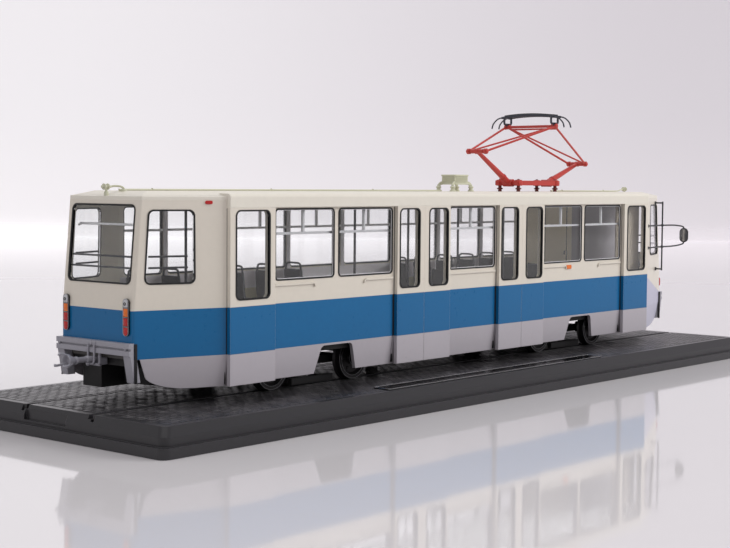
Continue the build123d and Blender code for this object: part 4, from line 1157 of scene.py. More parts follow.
@dataclass
class BodyShell:
    """The painted body: walls, skirts, doors, roof, their rubbers, painted window reflection lines, door joint lines
    with painted shade, and panel seams.
    """

    half_width: float = BODY_HALF
    door_y: float = 30.9
    guide_y: float = 29.65
    foot: float = 5.7
    leaf_top: float = 67.4
    window_low: float = 41.1
    window_high: float = 67.0
    window_corner: float = 1.8
    seal: float = 0.55
    # Width of the painted reflection line inside each window rubber.
    reflection_line_width: float = 0.22
    left_start: float = -119.4
    left_pitch: float = 33.8
    left_windows: int = 7

    def build(self) -> None:
        """Dresses the shell and adds door joint lines with painted shade, painted window reflection lines and seams."""
        dress(Finishes.cream, "side_wall_right", "side_wall_left", "rear_wall", "front_wall", "door_guides")
        dress(Finishes.blue, "waist_shell")
        dress(Finishes.skirt, "skirt_right", "skirt_left")
        dress(Finishes.roof, "roof")
        dress(Finishes.door, "door_rear", "door_middle_rear", "door_middle_front", "door_front")
        dress(Finishes.glass, "glass_right", "glass_left", "glass_ends")
        dress(Finishes.rubber, "seals_right", "seals_left", "seals_ends")
        dress(Finishes.white, "vent_sashes")
        dress(Finishes.bars, "guard_bars")
        make_piece("door_joint_shadow_lines", self.door_joint_shadows(), Finishes.rubber, Slot.SEAL)
        make_piece("door_leaf_beads", self.leaf_beads(), Finishes.door, Slot.CREAM)
        make_piece("window_reflection_lines", self.window_reflection_lines(), Finishes.white, Slot.SASH)
        make_piece("panel_seams", self.seams(), Finishes.rubber, Slot.SEAL)
        make_piece("guide_ends", self.guide_ends(), Finishes.cream, Slot.CREAM)

    def door_joint_shadows(self) -> Shape:
        """Dark joint lines at each door, widened into painted shade: a step at its rear end, thin at the rearmost door,
        and a line at its front.

        Returns:
            The lines as one shape.
        """
        wall, top = -self.half_width, self.leaf_top - 0.2
        parts = []
        for door in DOORS:
            wide = 0.34 if door is DOORS[0] else 1.0
            # Behind each door's rear step, a dark strip up to 1 mm wide stands for the shade beside the proud leaf:
            # painted shade.
            steps = ((self.foot + 0.6, SKIRT_TOP, wide), (SKIRT_TOP, BELT, wide), (BELT, top, wide * 0.36))
            for low, high, reach in steps:
                lean = 0.9 * max(0.0, SKIRT_TOP - low) / 11.0
                outer, inner = (door.start - reach, wall - 0.07 + lean, low), (door.start + 0.05, wall + 1.0, high)
                parts.append(block(outer, inner, 0.04))
            outer, inner = (door.end - 0.05, wall - 0.05, SKIRT_TOP + 0.1), (door.end + 0.16, wall + 0.2, top)
            parts.append(block(outer, inner, 0.03))
        return merge(parts)

    def leaf_beads(self) -> Shape:
        """A rounded bead that fills the gap between the two leaves of a pair.

        Returns:
            The beads as one shape.
        """
        low, high = (-self.door_y - 0.03, self.foot + 0.15), (-self.door_y + 0.7, self.leaf_top - 0.1)
        middles = [door.start + door.width / 2 for door in DOORS if door.kind is Bay.PAIR]
        return merge([rib(x, 0.26, low, high, 0.12) for x in middles])

    def window_rings(self) -> list[tuple[Place, Ring]]:
        """Place and outline of every side window, doors left out.

        Returns:
            A place and an outline for each window.
        """
        height, middle = self.window_high - self.window_low, (self.window_high + self.window_low) / 2
        spots = [(bay.start + bay.width / 2, -self.half_width, bay.width) for bay in WINDOWS]
        for index in range(self.left_windows):
            x = self.left_start + self.left_pitch * (index + 0.5)
            spots.append((x, self.half_width, self.left_pitch - 2.1))
        return [(side_place(x, middle, y), outline(width, height, self.window_corner)) for x, y, width in spots]

    def window_reflection_lines(self) -> Shape:
        """A thin pale line inside each rubber, on the pane: a painted reflection."""
        rings = self.window_rings()
        return merge([band(place, drawn_in(ring, self.seal), self.reflection_line_width, -0.4, -0.12, 0.05) for place, ring in rings])

    def seams(self) -> Shape:
        """Dark hair lines between the skirt's panels, over the left wheel arches and down the body's corners.

        Returns:
            The lines as one shape.
        """
        panels = [(x, 6.0) for x in (-118.9, -52.0, -16.6, 16.6, 51.6, 118.9)]
        arches = [(x, 16.2) for x in (-85.2, 85.2)]
        parts = []
        for side in SIDES:
            for x, low in panels + (arches if side > 0 else []):
                face = self.half_width - 1.2 * (SKIRT_TOP - low) / 11.0
                path = np.array([(x, side * (face - 0.02), low), (x, side * (self.half_width - 0.02), SKIRT_TOP)])
                parts.append(sweep(path, rounded(0.16, 0.1, 0.03, 1), LENGTHWAYS))
            low, high = (side * (self.half_width + 0.03), 17.0), (side * (self.half_width - 0.2), 67.2)
            parts += [rib(x, 0.09, low, high, 0.03) for x in (-141.0, 141.0)]
        return merge(parts)

    def guide_ends(self) -> Shape:
        """The hooked ends of the door guide rails, each rail from one share of its window's width to another.

        Returns:
            The hooks as one shape.
        """
        rails = ((0.0, 0.62), (0.5, 1.0), (0.0, 1.0), (0.0, 0.55), (0.42, 1.0))
        hook = ((-1.0, 39.6), (0.3, 39.6), (1.1, 39.0), (1.2, 38.2))
        parts = []
        for bay, ends in zip(WINDOWS, rails):
            for share, turn in zip(ends, SIDES):
                if 0.0 < share < 1.0:
                    x = bay.start + bay.width * share
                    path = flowing([(x + reach * turn, -self.guide_y, rise) for reach, rise in hook], 5)
                    parts.append(sweep(path, rounded(0.55, 0.7, 0.15, 2), CROSSWAYS))
        return merge(parts)


@dataclass
class Saloon:
    """What shows through the glass: floor, seats with loops, poles, linings, rails and the cab."""

    floor: float = 19.5
    seat_rise: float = 11.0
    seat_width: float = 9.5
    seat_depth: float = 9.0
    seat_thickness: float = 1.1
    back_height: float = 10.3
    pitch: float = 16.7
    seat_y: float = 21.85
    wall: float = 27.75
    sill: float = 40.7
    rear: float = -141.0
    front: float = 118.6
    left_rows: tuple[tuple[float, int], ...] = ((-134.5, 6), (17.5, 6))
    right_rows: tuple[tuple[float, int], ...] = ((-104.0, 3), (-8.0, 2), (62.0, 3))

    def build(self) -> None:
        """Dresses the cabin and adds the shaped seats, linings and rails."""
        dress(Finishes.floor, "saloon_floor")
        dress(Finishes.bars, "grab_poles")
        dress(Finishes.beige, "cab_partition")
        for name, rows, side in (("seats_left", self.left_rows, 1), ("seats_right", self.right_rows, -1)):
            seat = self.seat(looped=side > 0)
            places = [first + self.pitch * index for first, count in rows for index in range(count)]
            shape = merge([seat.moved(x, side * self.seat_y) for x in places])
            make_piece(name + "_moulded", shape, Finishes.seat, Slot.SEAT, replaces=[name])
        driver_seat = self.seat(looped=False).moved(146.75, 8.5)
        make_piece("driver_seat_moulded", driver_seat, Finishes.seat, Slot.SEAT, replaces=["driver_seat"])
        make_piece("driver_console_moulded", self.console(), Finishes.seat, Slot.SEAT, replaces=["driver_console"])
        make_piece("waist_linings", self.linings(), Finishes.lining, Slot.FLOOR)
        make_piece("foot_linings", self.foot_linings(), Finishes.foot_lining, Slot.FLOOR)
        make_piece("cab_side_screen", self.cab_screen(), Finishes.screen, Slot.CAB)
        make_piece("hand_rails", self.hand_rails(), Finishes.white, Slot.SASH)
        make_piece("ceiling_lamps", self.ceiling_lamps(), Finishes.white, Slot.SASH)
        make_piece("cab_door_frame", self.cab_frame(), Finishes.bars, Slot.BAR)

    def seat(self, looped: bool) -> Shape:
        """One seat at the origin: a shell bent from cushion to back, a stem, and if asked a loop.

        The shell is a side profile carried across the seat, drawn in towards its two ends, with its edges rolled.

        Args:
            looped: whether a hand loop stands on the back.

        Returns:
            The seat.
        """
        low, half = self.floor + self.seat_rise, self.seat_depth / 2
        top, front, back = low + self.back_height, half - 0.3, -half + 1.0
        outer = [
            (front + 0.3, low - 1.4), (front, low - 0.3), (1.0, low - 0.1), (back + 1.8, low - 0.5),
            (back + 0.7, low + 0.6), (back + 0.1, low + 4.0), (back - 0.35, top - 0.6), (back - 0.5, top)]
        line = flowing([(x, 0.0, z) for x, z in outer], 4)
        share = np.linspace(-1.0, 1.0, 9)
        across = np.sin(share * math.pi / 2) * self.seat_width / 2
        tip = np.linspace(0.0, 1.0, len(line))
        head, knee = np.clip((tip - 0.75) / 0.25, 0.0, 1.0) ** 2, np.clip(0.15 - tip, 0.0, 1.0)
        narrow = 1.0 - 0.10 * head - 0.06 * knee / 0.15
        tangent = np.gradient(line, axis=0)
        tangent /= np.linalg.norm(tangent, axis=1, keepdims=True)
        normal = np.cross(CROSSWAYS, tangent)
        sheet = line[:, None, :] + across[None, :, None] * CROSSWAYS * narrow[:, None, None]
        upper = sheet + (0.55 * share**4)[None, :, None] * normal[:, None, :] * 0.6
        lower = upper[:, ::-1, :] - normal[:, None, :] * self.seat_thickness
        stem = [(2.0, self.floor), (2.0, self.floor + 0.5), (1.0, self.floor + 1.2), (0.9, low - 2.2), (1.8, low - 1.2)]
        parts = [skin(np.concatenate([upper, lower], 1)), turned(stem, (0, 0, 0), sides=14)]
        if looped:
            right = [(-4.45, top - 4.2), (-4.35, top - 1.0), (-3.95, top + 1.6), (-3.1, top + 2.5), (0.0, top + 2.65)]
            loop = right + [(-y, z) for y, z in right[-2::-1]]
            path = flowing([(back - 0.45, y, z) for y, z in loop], 6)
            parts.append(sweep(path, circle(0.42, 8), LENGTHWAYS))
        return merge(parts)

    def console(self) -> Shape:
        """The driver's desk: a side profile with a sloped panel, carried across, with dials and a lever.

        Returns:
            The desk with its dials and lever.
        """
        rear, front, top = 156.2, 169.6, self.floor + 18.0
        profile = np.array([
            (rear + 4.0, self.floor), (front, self.floor), (front, top), (rear + 6.5, top), (rear, top - 4.0),
            (rear, top - 5.6), (rear + 4.0, top - 7.0)])
        middle = profile.mean(0)
        rings = []
        for y, size in ((-15.0, 0.96), (-14.7, 1.0), (14.7, 1.0), (15.0, 0.96)):
            rings.append(np.insert(middle + (profile - middle) * size, 1, y, 1))
        slope = np.array([6.5, 0.0, 4.0]) / math.hypot(6.5, 4.0)
        parts = [skin(np.stack(rings))]
        for y in (-3.5, 0.0, 3.5):
            dial = Place((rear + 6.5 * 0.6, y, top - 4.0 + 4.0 * 0.6), -CROSSWAYS, slope)
            parts.append(band(dial, outline(2.6, 2.6, 1.29), 0.3, -0.1, 0.25, 0.05))
        lever = flowing([(rear + 3.0, 8.0, top - 2.0), (rear + 2.4, 8.0, top + 0.6), (rear + 2.0, 8.0, top + 1.6)], 4)
        parts.append(sweep(lever, circle(0.35, 8), CROSSWAYS))
        return merge(parts)

    def linings(self) -> Shape:
        """Grey linings inside the walls below the windows, on the pillars of the left wall and along its head.

        Returns:
            The linings as one shape.
        """
        low, wall = self.floor + 0.1, self.wall
        parts = [block((self.rear, wall, low), (self.front, wall - 0.35, self.sill), 0.1)]
        for bay in WINDOWS:
            parts.append(block((bay.start, -wall, low), (min(bay.end, self.front), -wall + 0.35, self.sill), 0.1))
        for index in range(8):
            x = -119.4 + 33.8 * index
            if x < self.front:
                parts.append(rib(x, 0.95, (wall, self.sill), (wall - 0.4, 67.4), 0.1))
        parts.append(block((self.rear, wall, 67.2), (self.front, wall - 0.4, 69.6), 0.1))
        return merge(parts)

    def foot_linings(self) -> Shape:
        """The brown kick plates along the foot of both walls."""
        low = self.floor + 0.1
        return merge([block((-140.8, side * 27.38, low), (118.5, side * 27.05, 33.8), 0.1) for side in SIDES])

    def cab_screen(self) -> Shape:
        """The screen along the driver's side of the front door's well, with a rail at its head."""
        screen = block((119.3, -25.6, self.floor + 0.05), (141.0, -25.2, 68.0), 0.15)
        return merge([screen, block((119.3, -25.8, 67.2), (141.0, -25.0, 68.2), 0.2)])

    def hand_rails(self) -> Shape:
        """A pale rail across the rear window, with its two brackets.

        Returns:
            The rail.
        """
        left = [(-169.6, 15.4, 61.0), (-168.6, 15.6, 61.4), (-168.1, 14.6, 61.5)]
        path = flowing(left + [(-168.0, 0.0, 61.5)] + [(x, -y, z) for x, y, z in left[::-1]], 6)
        return sweep(path, circle(0.45, 10))

    def ceiling_lamps(self) -> Shape:
        """A row of long lamp covers under the ceiling."""
        return merge([rib(x, 9.0, (-1.6, 70.9), (1.6, 71.55), 0.4) for x in np.arange(-120.0, 110.0, 33.8)])

    def cab_frame(self) -> Shape:
        """A dark frame line on the cab's cross wall, with its door handle.

        Returns:
            The parts as one shape.
        """
        place = Place((118.95, 8.2, 44.0), (0.0, -1.0, 0.0), (0.0, 0.0, 1.0))
        frame_line = band(place, outline(13.0, 46.0, 1.0), 0.35, -0.05, 0.15, 0.04)
        return merge([frame_line, block((118.5, 2.6, 42.0), (119.0, 3.2, 44.0), 0.15)])


@dataclass(frozen=True)
class EndShape:
    """The ends of the body: a face that leans above the waist, and a facet at each side of it."""

    end_x: float = 174.9
    corner_x: float = 141.7
    face_half: float = 18.8
    body_half: float = BODY_HALF
    lean: float = 3.4 / 37.0
    belt: float = BELT

    def face(self, rise: float) -> float:
        """Where the end face stands at a height: end - lean x (rise - belt) above the belt."""
        return self.end_x - self.lean * max(0.0, rise - self.belt)

    def facet_place(self, x: float, rise: float, sign: int, side: int) -> Place:
        """A place on a facet that looks out.

        The point has the share s = (face - x) / (face - corner) of the way from the crease to the corner.

        Args:
            x: how far along the body, as a size without its sign.
            rise: its height.
            sign: 1 for the front end and -1 for the rear.
            side: 1 for the left side and -1 for the right.

        Returns:
            The place, with its across level and its up along the leaning surface.
        """
        crease = self.face(rise)
        share = (crease - x) / (crease - self.corner_x)
        across = np.array([self.corner_x - crease, self.body_half - self.face_half, 0.0])
        across /= np.linalg.norm(across)
        up = np.array([-self.lean * (1 - share) if rise > self.belt else 0.0, 0.0, 1.0])
        up -= across * float(up @ across)
        up /= np.linalg.norm(up)
        origin = np.array([x, self.face_half + (self.body_half - self.face_half) * share, rise])
        turn = np.array([sign, side, 1.0])
        across, up = across * turn, up * turn
        if float(np.cross(across, up)[1]) * side < 0.0:
            across = -across
        return Place(tuple(origin * turn), tuple(across), tuple(up))


ENDS = EndShape()


@dataclass
class Lamps:
    """Tail lamps in their rounded housings, markers, side lamps, nose lamps and headlamps."""

    lamp_y: float = 15.9
    width: float = 2.8
    low: float = 24.5
    high: float = 37.1
    edge: float = 0.35
    end_radius: float = 0.95
    lens_corner: float = 0.2
    proud: float = 0.95
    marker_x: float = 148.2
    marker_rise: float = 69.2
    nose_y: float = 17.2
    nose_rise: float = 27.1
    side_x: float = 73.4
    side_rise: float = 39.0
    head_y: float = 10.5
    head_rise: float = 28.0

    def build(self) -> None:
        """Replaces the plain lens solids by domed, ribbed lenses in thin rims."""
        dress(Finishes.rubber, "lamp_bezels")
        red, amber, clear, rims = [], [], [], []
        for side in SIDES:
            for group, glass in zip((red, red, amber, clear), self.tail_glasses(side)):
                group.append(glass)
            rims += self.tail_rims(side)
            nose = self.end_place(1, side * self.nose_y, self.nose_rise)
            marker = ENDS.facet_place(self.marker_x, self.marker_rise, -1, side)
            side_lamp = side_place(self.side_x, self.side_rise, side * ENDS.body_half)
            red += [slab(nose, outline(2.4, 4.5, 1.0), 2.2, 0.0, 0.5, 0.2),
                    slab(marker, outline(2.7, 1.2, 0.5), 0.42, 0.0, 0.15, 0.08)]
            amber.append(slab(side_lamp, outline(3.9, 1.8, 0.5), 0.6, 0.0, 0.2, 0.1))
            clear.append(self.headlamp_glass(side))
            rims += [band(nose, outline(2.8, 4.9, 1.2), 0.24, -0.1, 0.45, 0.08), self.headlamp_rim(side)]
        make_piece("red_lenses_domed", merge(red), Finishes.red, Slot.RED, replaces=["red_lenses"])
        make_piece("amber_lenses_domed", merge(amber), Finishes.amber, Slot.AMBER, replaces=["amber_lenses"])
        make_piece("clear_lenses_domed", merge(clear), Finishes.clear, Slot.CLEAR, replaces=["clear_lenses"])
        make_piece("lamp_rims", merge(rims), Finishes.rim, Slot.CLEAR)
        make_piece("lamp_sockets", self.sockets(), Finishes.rubber, Slot.SEAL)

    @property
    def cell(self) -> float:
        """The height of one tail lens."""
        return (self.high - self.low) / 4

    def tail_glasses(self, side: int) -> list[Shape]:
        """The four lenses of a tail lamp, from the lowest up, with round corners at the lamp's two ends.

        Args:
            side: 1 for the left side and -1 for the right.

        Returns:
            The lenses.
        """
        small, large = (self.lens_corner,) * 2, (self.end_radius,) * 2
        glasses = []
        for index, corners in enumerate((small + large, small * 2, small * 2, large + small)):
            place = self.end_place(-1, side * self.lamp_y, self.low + self.cell * (index + 0.5))
            ring = outline(self.width - 2 * self.edge, self.cell - 0.4, corners, 4)
            glasses.append(slab(place, ring, self.proud, -0.5, 0.18, 0.2))
        return glasses

    def tail_rims(self, side: int) -> list[Shape]:
        """A tail lamp's rim and the bars between its lenses.

        Args:
            side: 1 for the left side and -1 for the right.

        Returns:
            The rim and the three bars.
        """
        y = side * self.lamp_y
        housing = self.end_place(-1, y, (self.low + self.high) / 2)
        parts = [band(housing, outline(self.width, self.high - self.low, 1.3), 0.16, 0.3, 0.86, 0.05)]
        for index in (1, 2, 3):
            rise = self.low + self.cell * index
            low, high = (-ENDS.end_x - 0.92, y - 1.0, rise - 0.09), (-ENDS.end_x - 0.5, y + 1.0, rise + 0.09)
            parts.append(block(low, high, 0.04))
        return parts

    def end_place(self, sign: int, y: float, rise: float) -> Place:
        """A place on an end face below the waist's top, looking out."""
        return Place((sign * ENDS.end_x, y, rise), (0.0, float(sign), 0.0), (0.0, 0.0, 1.0))

    def headlamp_glass(self, side: int) -> Shape:
        """A flat dome of glass."""
        profile = [(2.25 * math.cos(a), 0.3 + 0.38 * math.sin(a)) for a in np.linspace(0.0, 1.4, 6)]
        return turned([(2.25, 0.0), *profile], (ENDS.end_x, side * self.head_y, self.head_rise), Axis.X, 28)

    def headlamp_rim(self, side: int) -> Shape:
        """The lamp's bright rim."""
        profile = [(2.2, -0.3), (3.0, -0.3), (3.0, 0.1), (2.7, 0.52), (2.45, 0.62), (2.2, 0.45)]
        return turned(profile, (ENDS.end_x, side * self.head_y, self.head_rise), Axis.X, 32, looped=True)

    def sockets(self) -> Shape:
        """A small dark ring on each clear tail lens, and one in each headlamp.

        Returns:
            The rings as one shape.
        """
        parts = []
        for side in SIDES:
            tail = (-ENDS.end_x - 1.12, side * self.lamp_y, self.low + self.cell * 3.45)
            parts.append(torus(tail, 0.42, 0.16, Axis.X, 24))
            parts.append(torus((ENDS.end_x + 0.6, side * self.head_y, self.head_rise), 0.8, 0.12, Axis.X, 24))
        return merge(parts)


@dataclass
class EndGear:
    """Bumpers, couplers with their hangers, and the wiper."""

    beam_proud: float = 2.2
    rise: float = 15.8
    bar: float = 1.0
    flare: float = 2.3
    mouth: float = 188.1
    tip: float = 191.5

    def build(self) -> None:
        """Dresses the bumpers, replaces the couplers by shaped ones and adds bolts and the wiper."""
        dress(Finishes.bumper, "bumpers")
        coupler = merge([self.drawbar(), self.claws(), self.hanger()])
        make_piece("couplers_shaped", coupler.both(Axis.X), Finishes.bumper, Slot.BUMPER, replaces=["couplers"])
        make_piece("bumper_bolts", self.bolts(), Finishes.bumper, Slot.BUMPER)
        make_piece("bumper_shadow_lines", self.gaps(), Finishes.rubber, Slot.SEAL)
        make_piece("front_wiper", self.wiper(), Finishes.bars, Slot.BAR)

    def drawbar(self) -> Shape:
        """The bar, its flared head and the hollow in its mouth, turned about one axis.

        Returns:
            The drawbar of the front end.
        """
        thin, flare = self.bar, self.flare
        profile = [
            (0.02, -1.5), (thin, -1.5), (thin, 3.6), (1.25, 3.8), (1.25, 4.5), (thin, 4.7), (thin, 8.0), (1.3, 8.6),
            (1.3, 9.2), (1.15, 9.4), (1.7, 11.2), (flare, 12.7), (flare, 13.2), (2.0, 13.2), (1.4, 11.6), (0.02, 11.4)]
        return turned(profile, (ENDS.end_x, 0.0, self.rise), Axis.X, 24)

    def claws(self) -> Shape:
        """Three claws that bend out round the head and in again at their tips.

        Returns:
            The claws of the front end.
        """
        mouth, tip = self.mouth, self.tip
        line = [(mouth - 1.6, 1.75), (mouth - 0.3, 2.1), (mouth + 1.2, 2.65), (tip - 0.9, 2.75), (tip - 0.45, 2.3)]
        parts = []
        for turn in (90.0, 210.0, 330.0):
            across, up = math.cos(math.radians(turn)), math.sin(math.radians(turn))
            path = flowing([(x, reach * across, self.rise + reach * up) for x, reach in line], 5)
            parts.append(sweep(path, circle(0.45, 8), (0.0, -up, across)))
        return merge(parts)

    def hanger(self) -> Shape:
        """A strap down the face of the beam and under the bar, with its bolt, its ball and the block behind it.

        Returns:
            The hanger of the front end.
        """
        face = ENDS.end_x
        x, low = face + self.beam_proud + 0.3, self.rise - self.bar - 0.55
        half = [(x, -1.55, 21.2), (x, -1.6, 19.4), (x, -1.6, 16.6), (x, -1.45, 15.2), (x, -0.9, low)]
        strap = sweep(flowing(half + [(x, -y, z) for x, y, z in half[::-1]], 6), circle(0.36, 8), LENGTHWAYS)
        ball = [(0.02, -0.9), (0.5, -0.78), (0.8, -0.4), (0.9, 0.0), (0.8, 0.4), (0.5, 0.78), (0.02, 0.9)]
        knob = turned(ball, (x, 1.5, low - 0.1), sides=14)
        plate = block((x - 0.45, -2.1, 20.5), (x - 0.1, 2.1, 21.9), 0.12)
        yoke = block((face - 2.6, -2.6, 13.7), (face, 2.6, 16.1), 0.25)
        foot = block((face + 0.6, -3.3, 13.5), (face + 1.6, 3.3, 14.4), 0.15)
        drop = [block((face + 0.6, side * 2.6, 13.8), (face + 1.6, side * 3.3, 18.1)) for side in SIDES]
        return merge([strap, knob, plate, yoke, foot, *drop, bolt((x - 0.15, 0.0, 21.2), Axis.X, 1, 0.5, 0.4)])

    def bolts(self) -> Shape:
        """Bolt heads on the two ends of each beam.

        Returns:
            The bolts of both ends.
        """
        face = ENDS.end_x + self.beam_proud
        parts = [bolt((face, y, 20.1), Axis.X, 1, 0.36, 0.25) for y in (-17.5, 17.5)]
        return merge(parts).both(Axis.X)

    def gaps(self) -> Shape:
        """Dark lines between each bumper leg and the skirt beside it.

        Returns:
            The lines of both ends.
        """
        rear, front = ENDS.end_x - 1.2, ENDS.end_x - 0.15
        parts = [block((rear, side * 19.25, 8.6), (front, side * 19.62, 22.0), 0.05) for side in SIDES]
        return merge(parts).both(Axis.X)

    def on_glass(self, y: float, rise: float, out: float) -> Point:
        """A point in front of the leaning windscreen."""
        return ENDS.face(rise) + out, y, rise

    def wiper(self) -> Shape:
        """A wiper on the windscreen: an arm and a blade that lie on the leaning glass.

        Returns:
            The wiper.
        """
        arm = flowing([self.on_glass(0.0, 40.2, 0.5), self.on_glass(2.0, 44.0, 0.7), self.on_glass(6.5, 50.0, 0.5)], 6)
        blade = np.array([self.on_glass(3.0, 46.0, 0.35), self.on_glass(10.0, 54.0, 0.35)])
        hub = turned([(0.9, -0.2), (0.9, 0.5), (0.6, 0.8)], self.on_glass(0.0, 40.0, 0.0), Axis.X, 14)
        rubber = sweep(blade, rounded(0.25, 0.5, 0.1, 2), LENGTHWAYS)
        return merge([sweep(arm, circle(0.22, 8), LENGTHWAYS), rubber, hub])


@dataclass
class Mirrors:
    """The outside mirrors on their bent arms."""

    x: float = 187.0
    y: float = 26.0
    rise: float = 51.0
    post: tuple[float, float] = (165.0, 25.6)
    spread: float = 5.4
    tip_spread: float = 3.2
    arm: float = 0.38
    pad_x: float = 146.5

    def build(self) -> None:
        """Replaces the mirror solids by shaped housings on flowing arms."""
        right = merge([self.housing(), self.arms()])
        make_piece("mirrors_shaped", right.both(Axis.Y), Finishes.bars, Slot.BAR, replaces=["mirrors"])
        rear = Place((self.x - 0.62, -self.y, self.rise), (0.0, -1.0, 0.0), (0.0, 0.0, 1.0))
        glass = slab(rear, outline(3.7, 6.2, 1.75), 0.12, 0.1, 0.04)
        make_piece("mirror_glasses", glass.both(Axis.Y), Finishes.mirror, Slot.CLEAR)

    def housing(self) -> Shape:
        """A rounded shell with a flat rear face: rings of the outline drawn in towards the front."""
        place = Place((self.x, -self.y, self.rise), (0.0, 1.0, 0.0), (0.0, 0.0, 1.0))
        return slab(place, outline(4.7, 7.3, 2.2), 0.35, 0.62, 0.5, 0.3)

    def foot(self, x: float, rise: float) -> tuple[Shape, np.ndarray]:
        """A round pad on the right front facet, and the point on top of it.

        Args:
            x: where it is along the body.
            rise: its height.

        Returns:
            The pad, and the point.
        """
        place = ENDS.facet_place(x, rise, 1, -1)
        base, top = place.points(np.zeros((2, 2)), np.array([-0.1, 0.62]))
        return bar(base, top, 0.85, 14), top

    def arms(self) -> Shape:
        """Two arms from pads on the facet by the post to the mirror, and the post with its own pads.

        Returns:
            The arms, post and pads of the right side.
        """
        post_x, post_y = self.post
        parts = []
        for sign in SIDES:
            rise = self.rise + sign * self.spread
            pad, foot = self.foot(self.pad_x, rise)
            line = [
                foot, (post_x - 6.0, -post_y - 0.5, rise), (post_x, -post_y, rise),
                (post_x + 12.0, -self.y + 0.2, self.rise + sign * 5.25),
                (self.x - 2.0, -self.y, self.rise + sign * 4.5),
                (self.x - 0.2, -self.y, self.rise + sign * self.tip_spread)]
            clamp = bar((post_x - 0.7, -post_y, rise), (post_x + 0.7, -post_y, rise), 0.6, 12)
            parts += [pad, sweep(flowing(line, 7), circle(self.arm, 8), CROSSWAYS), clamp]
        parts.append(bar((post_x, -post_y, 33.7), (post_x, -post_y, 68.3), self.arm, 10, LENGTHWAYS))
        for rise in (34.4, 67.6):
            pad, foot = self.foot(post_x, rise)
            parts += [pad, bar(foot, (post_x, -post_y, rise), self.arm, 8)]
        return merge(parts)


@dataclass
class RoofGear:
    """The resistor box, the insulators and the conductor along the roof's crown."""

    crown: float = 73.0
    box_x: float = 26.0
    box_low: float = 76.4
    half_x: float = 5.0
    half_y: float = 4.0
    insulator_x: float = 170.6

    def build(self) -> None:
        """Replaces the box and insulators by detailed ones and adds cable clamps."""
        box, insulators = merge([self.box(), self.feet()]), self.insulators()
        make_piece("roof_box_shaped", box, Finishes.gear, Slot.GEAR, replaces=["roof_box"])
        make_piece("roof_box_louvres", self.louvres(), Finishes.gear, Slot.GEAR)
        make_piece("roof_insulators_turned", insulators, Finishes.gear, Slot.GEAR, replaces=["roof_insulators"])
        dress(Finishes.gear, "roof_cables")
        make_piece("cable_clamps", self.clamps(), Finishes.gear, Slot.GEAR)

    def box(self) -> Shape:
        """The box with an overhanging lid and a base flange.

        Returns:
            The box.
        """
        low, high, y = self.box_low, self.box_low + 4.0, self.half_y
        body = rib(self.box_x, self.half_x - 0.25, (-y + 0.25, low), (y - 0.25, high - 0.5), 0.35)
        lid = rib(self.box_x, self.half_x, (-y, high - 0.75), (y, high), 0.35)
        base = rib(self.box_x, self.half_x, (-y, low - 0.4), (y, low + 0.35), 0.12)
        return merge([body, lid, base])

    def feet(self) -> Shape:
        """Four stout feet near the corners, each with a bent strap from the box.

        Returns:
            The feet and straps as one shape.
        """
        profile = [
            (1.35, 0.0), (1.35, 0.45), (0.95, 0.75), (0.85, 1.5), (1.2, 1.75), (1.2, 2.1), (0.7, 2.4), (0.6, 3.0)]
        strap = ((4.3, 3.2, self.box_low + 0.35), (5.6, 3.6, self.box_low + 0.1), (6.6, 3.9, self.crown + 2.5))
        parts = []
        for sx, sy in CORNERS:
            path = flowing([(self.box_x + sx * x, sy * y, rise) for x, y, rise in strap], 5)
            parts.append(sweep(path, rounded(1.5, 0.6, 0.2, 2), CROSSWAYS))
            parts.append(turned(profile, (self.box_x + sx * 6.6, sy * 3.9, self.crown - 0.05), sides=18))
        return merge(parts)

    def louvres(self) -> Shape:
        """Level slats on the box's long sides and end faces.

        Returns:
            The slats as one shape.
        """
        parts = []
        for rise in np.arange(self.box_low + 0.8, self.box_low + 3.1, 0.55):
            high = rise + 0.24
            slat = rib(self.box_x, 4.2, (-self.half_y - 0.02, rise), (-self.half_y + 0.4, high), 0.08)
            parts.append(slat.both(Axis.Y))
            for sx in SIDES:
                parts.append(rib(self.box_x + sx * (self.half_x - 0.2), 0.2, (-3.2, rise), (3.2, high), 0.08))
        return merge(parts)

    def insulators(self) -> Shape:
        """A bushing that lies lengthways on a short stand at each end, with two discs, and the leads to them.

        Returns:
            The bushings, stands and leads as one shape.
        """
        bush = [
            (0.02, -2.1), (0.45, -2.0), (0.5, -1.3), (1.1, -1.15), (1.1, -0.85), (0.55, -0.7), (0.55, 0.35), (1.1, 0.5),
            (1.1, 0.8), (0.5, 0.95), (0.45, 1.9), (0.02, 2.0)]
        stand = [(0.8, -1.3), (0.8, 0.35), (0.55, 0.6), (0.4, 0.8), (0.4, 2.2)]
        rear = [
            (-168.8, 0.0, 74.35), (-167.4, -0.6, 74.6), (-165.7, -1.6, 74.45), (-164.7, -1.95, 73.9),
            (-164.5, -2.0, 73.1)]
        front = [(161.8, 0.0, 73.35), (164.5, 0.0, 73.5), (167.2, 0.0, 74.1), (169.2, 0.0, 74.35)]
        socket = [(1.1, -1.0), (1.1, 0.25), (0.8, 0.5), (0.5, 0.55)]
        parts = []
        for sign in SIDES:
            parts.append(turned(bush, (sign * self.insulator_x, 0.0, self.crown + 1.35), Axis.X, 20))
            parts.append(turned(stand, (sign * self.insulator_x, 0.0, self.crown - 0.9), sides=18))
        parts.append(sweep(flowing(rear, 6), circle(0.38, 8), (0.3, -1.0, 0.0)))
        parts.append(sweep(flowing(front, 5), circle(0.33, 8), CROSSWAYS))
        parts.append(turned(socket, (-164.5, -2.0, self.crown), sides=18))
        return merge(parts)

    def clamps(self) -> Shape:
        """Small saddles that hold the conductor down.

        Returns:
            The saddles as one shape.
        """
        parts = []
        turn = np.linspace(0.0, math.pi, 9)
        for x in (-150.0, -90.0, -30.0, 112.0, 150.0):
            path = np.stack([np.full_like(turn, x), 0.42 * np.cos(turn), self.crown + 0.3 + 0.45 * np.sin(turn)], -1)
            parts.append(sweep(path, rounded(0.5, 0.12, 0.05, 1), LENGTHWAYS))
        return merge(parts)


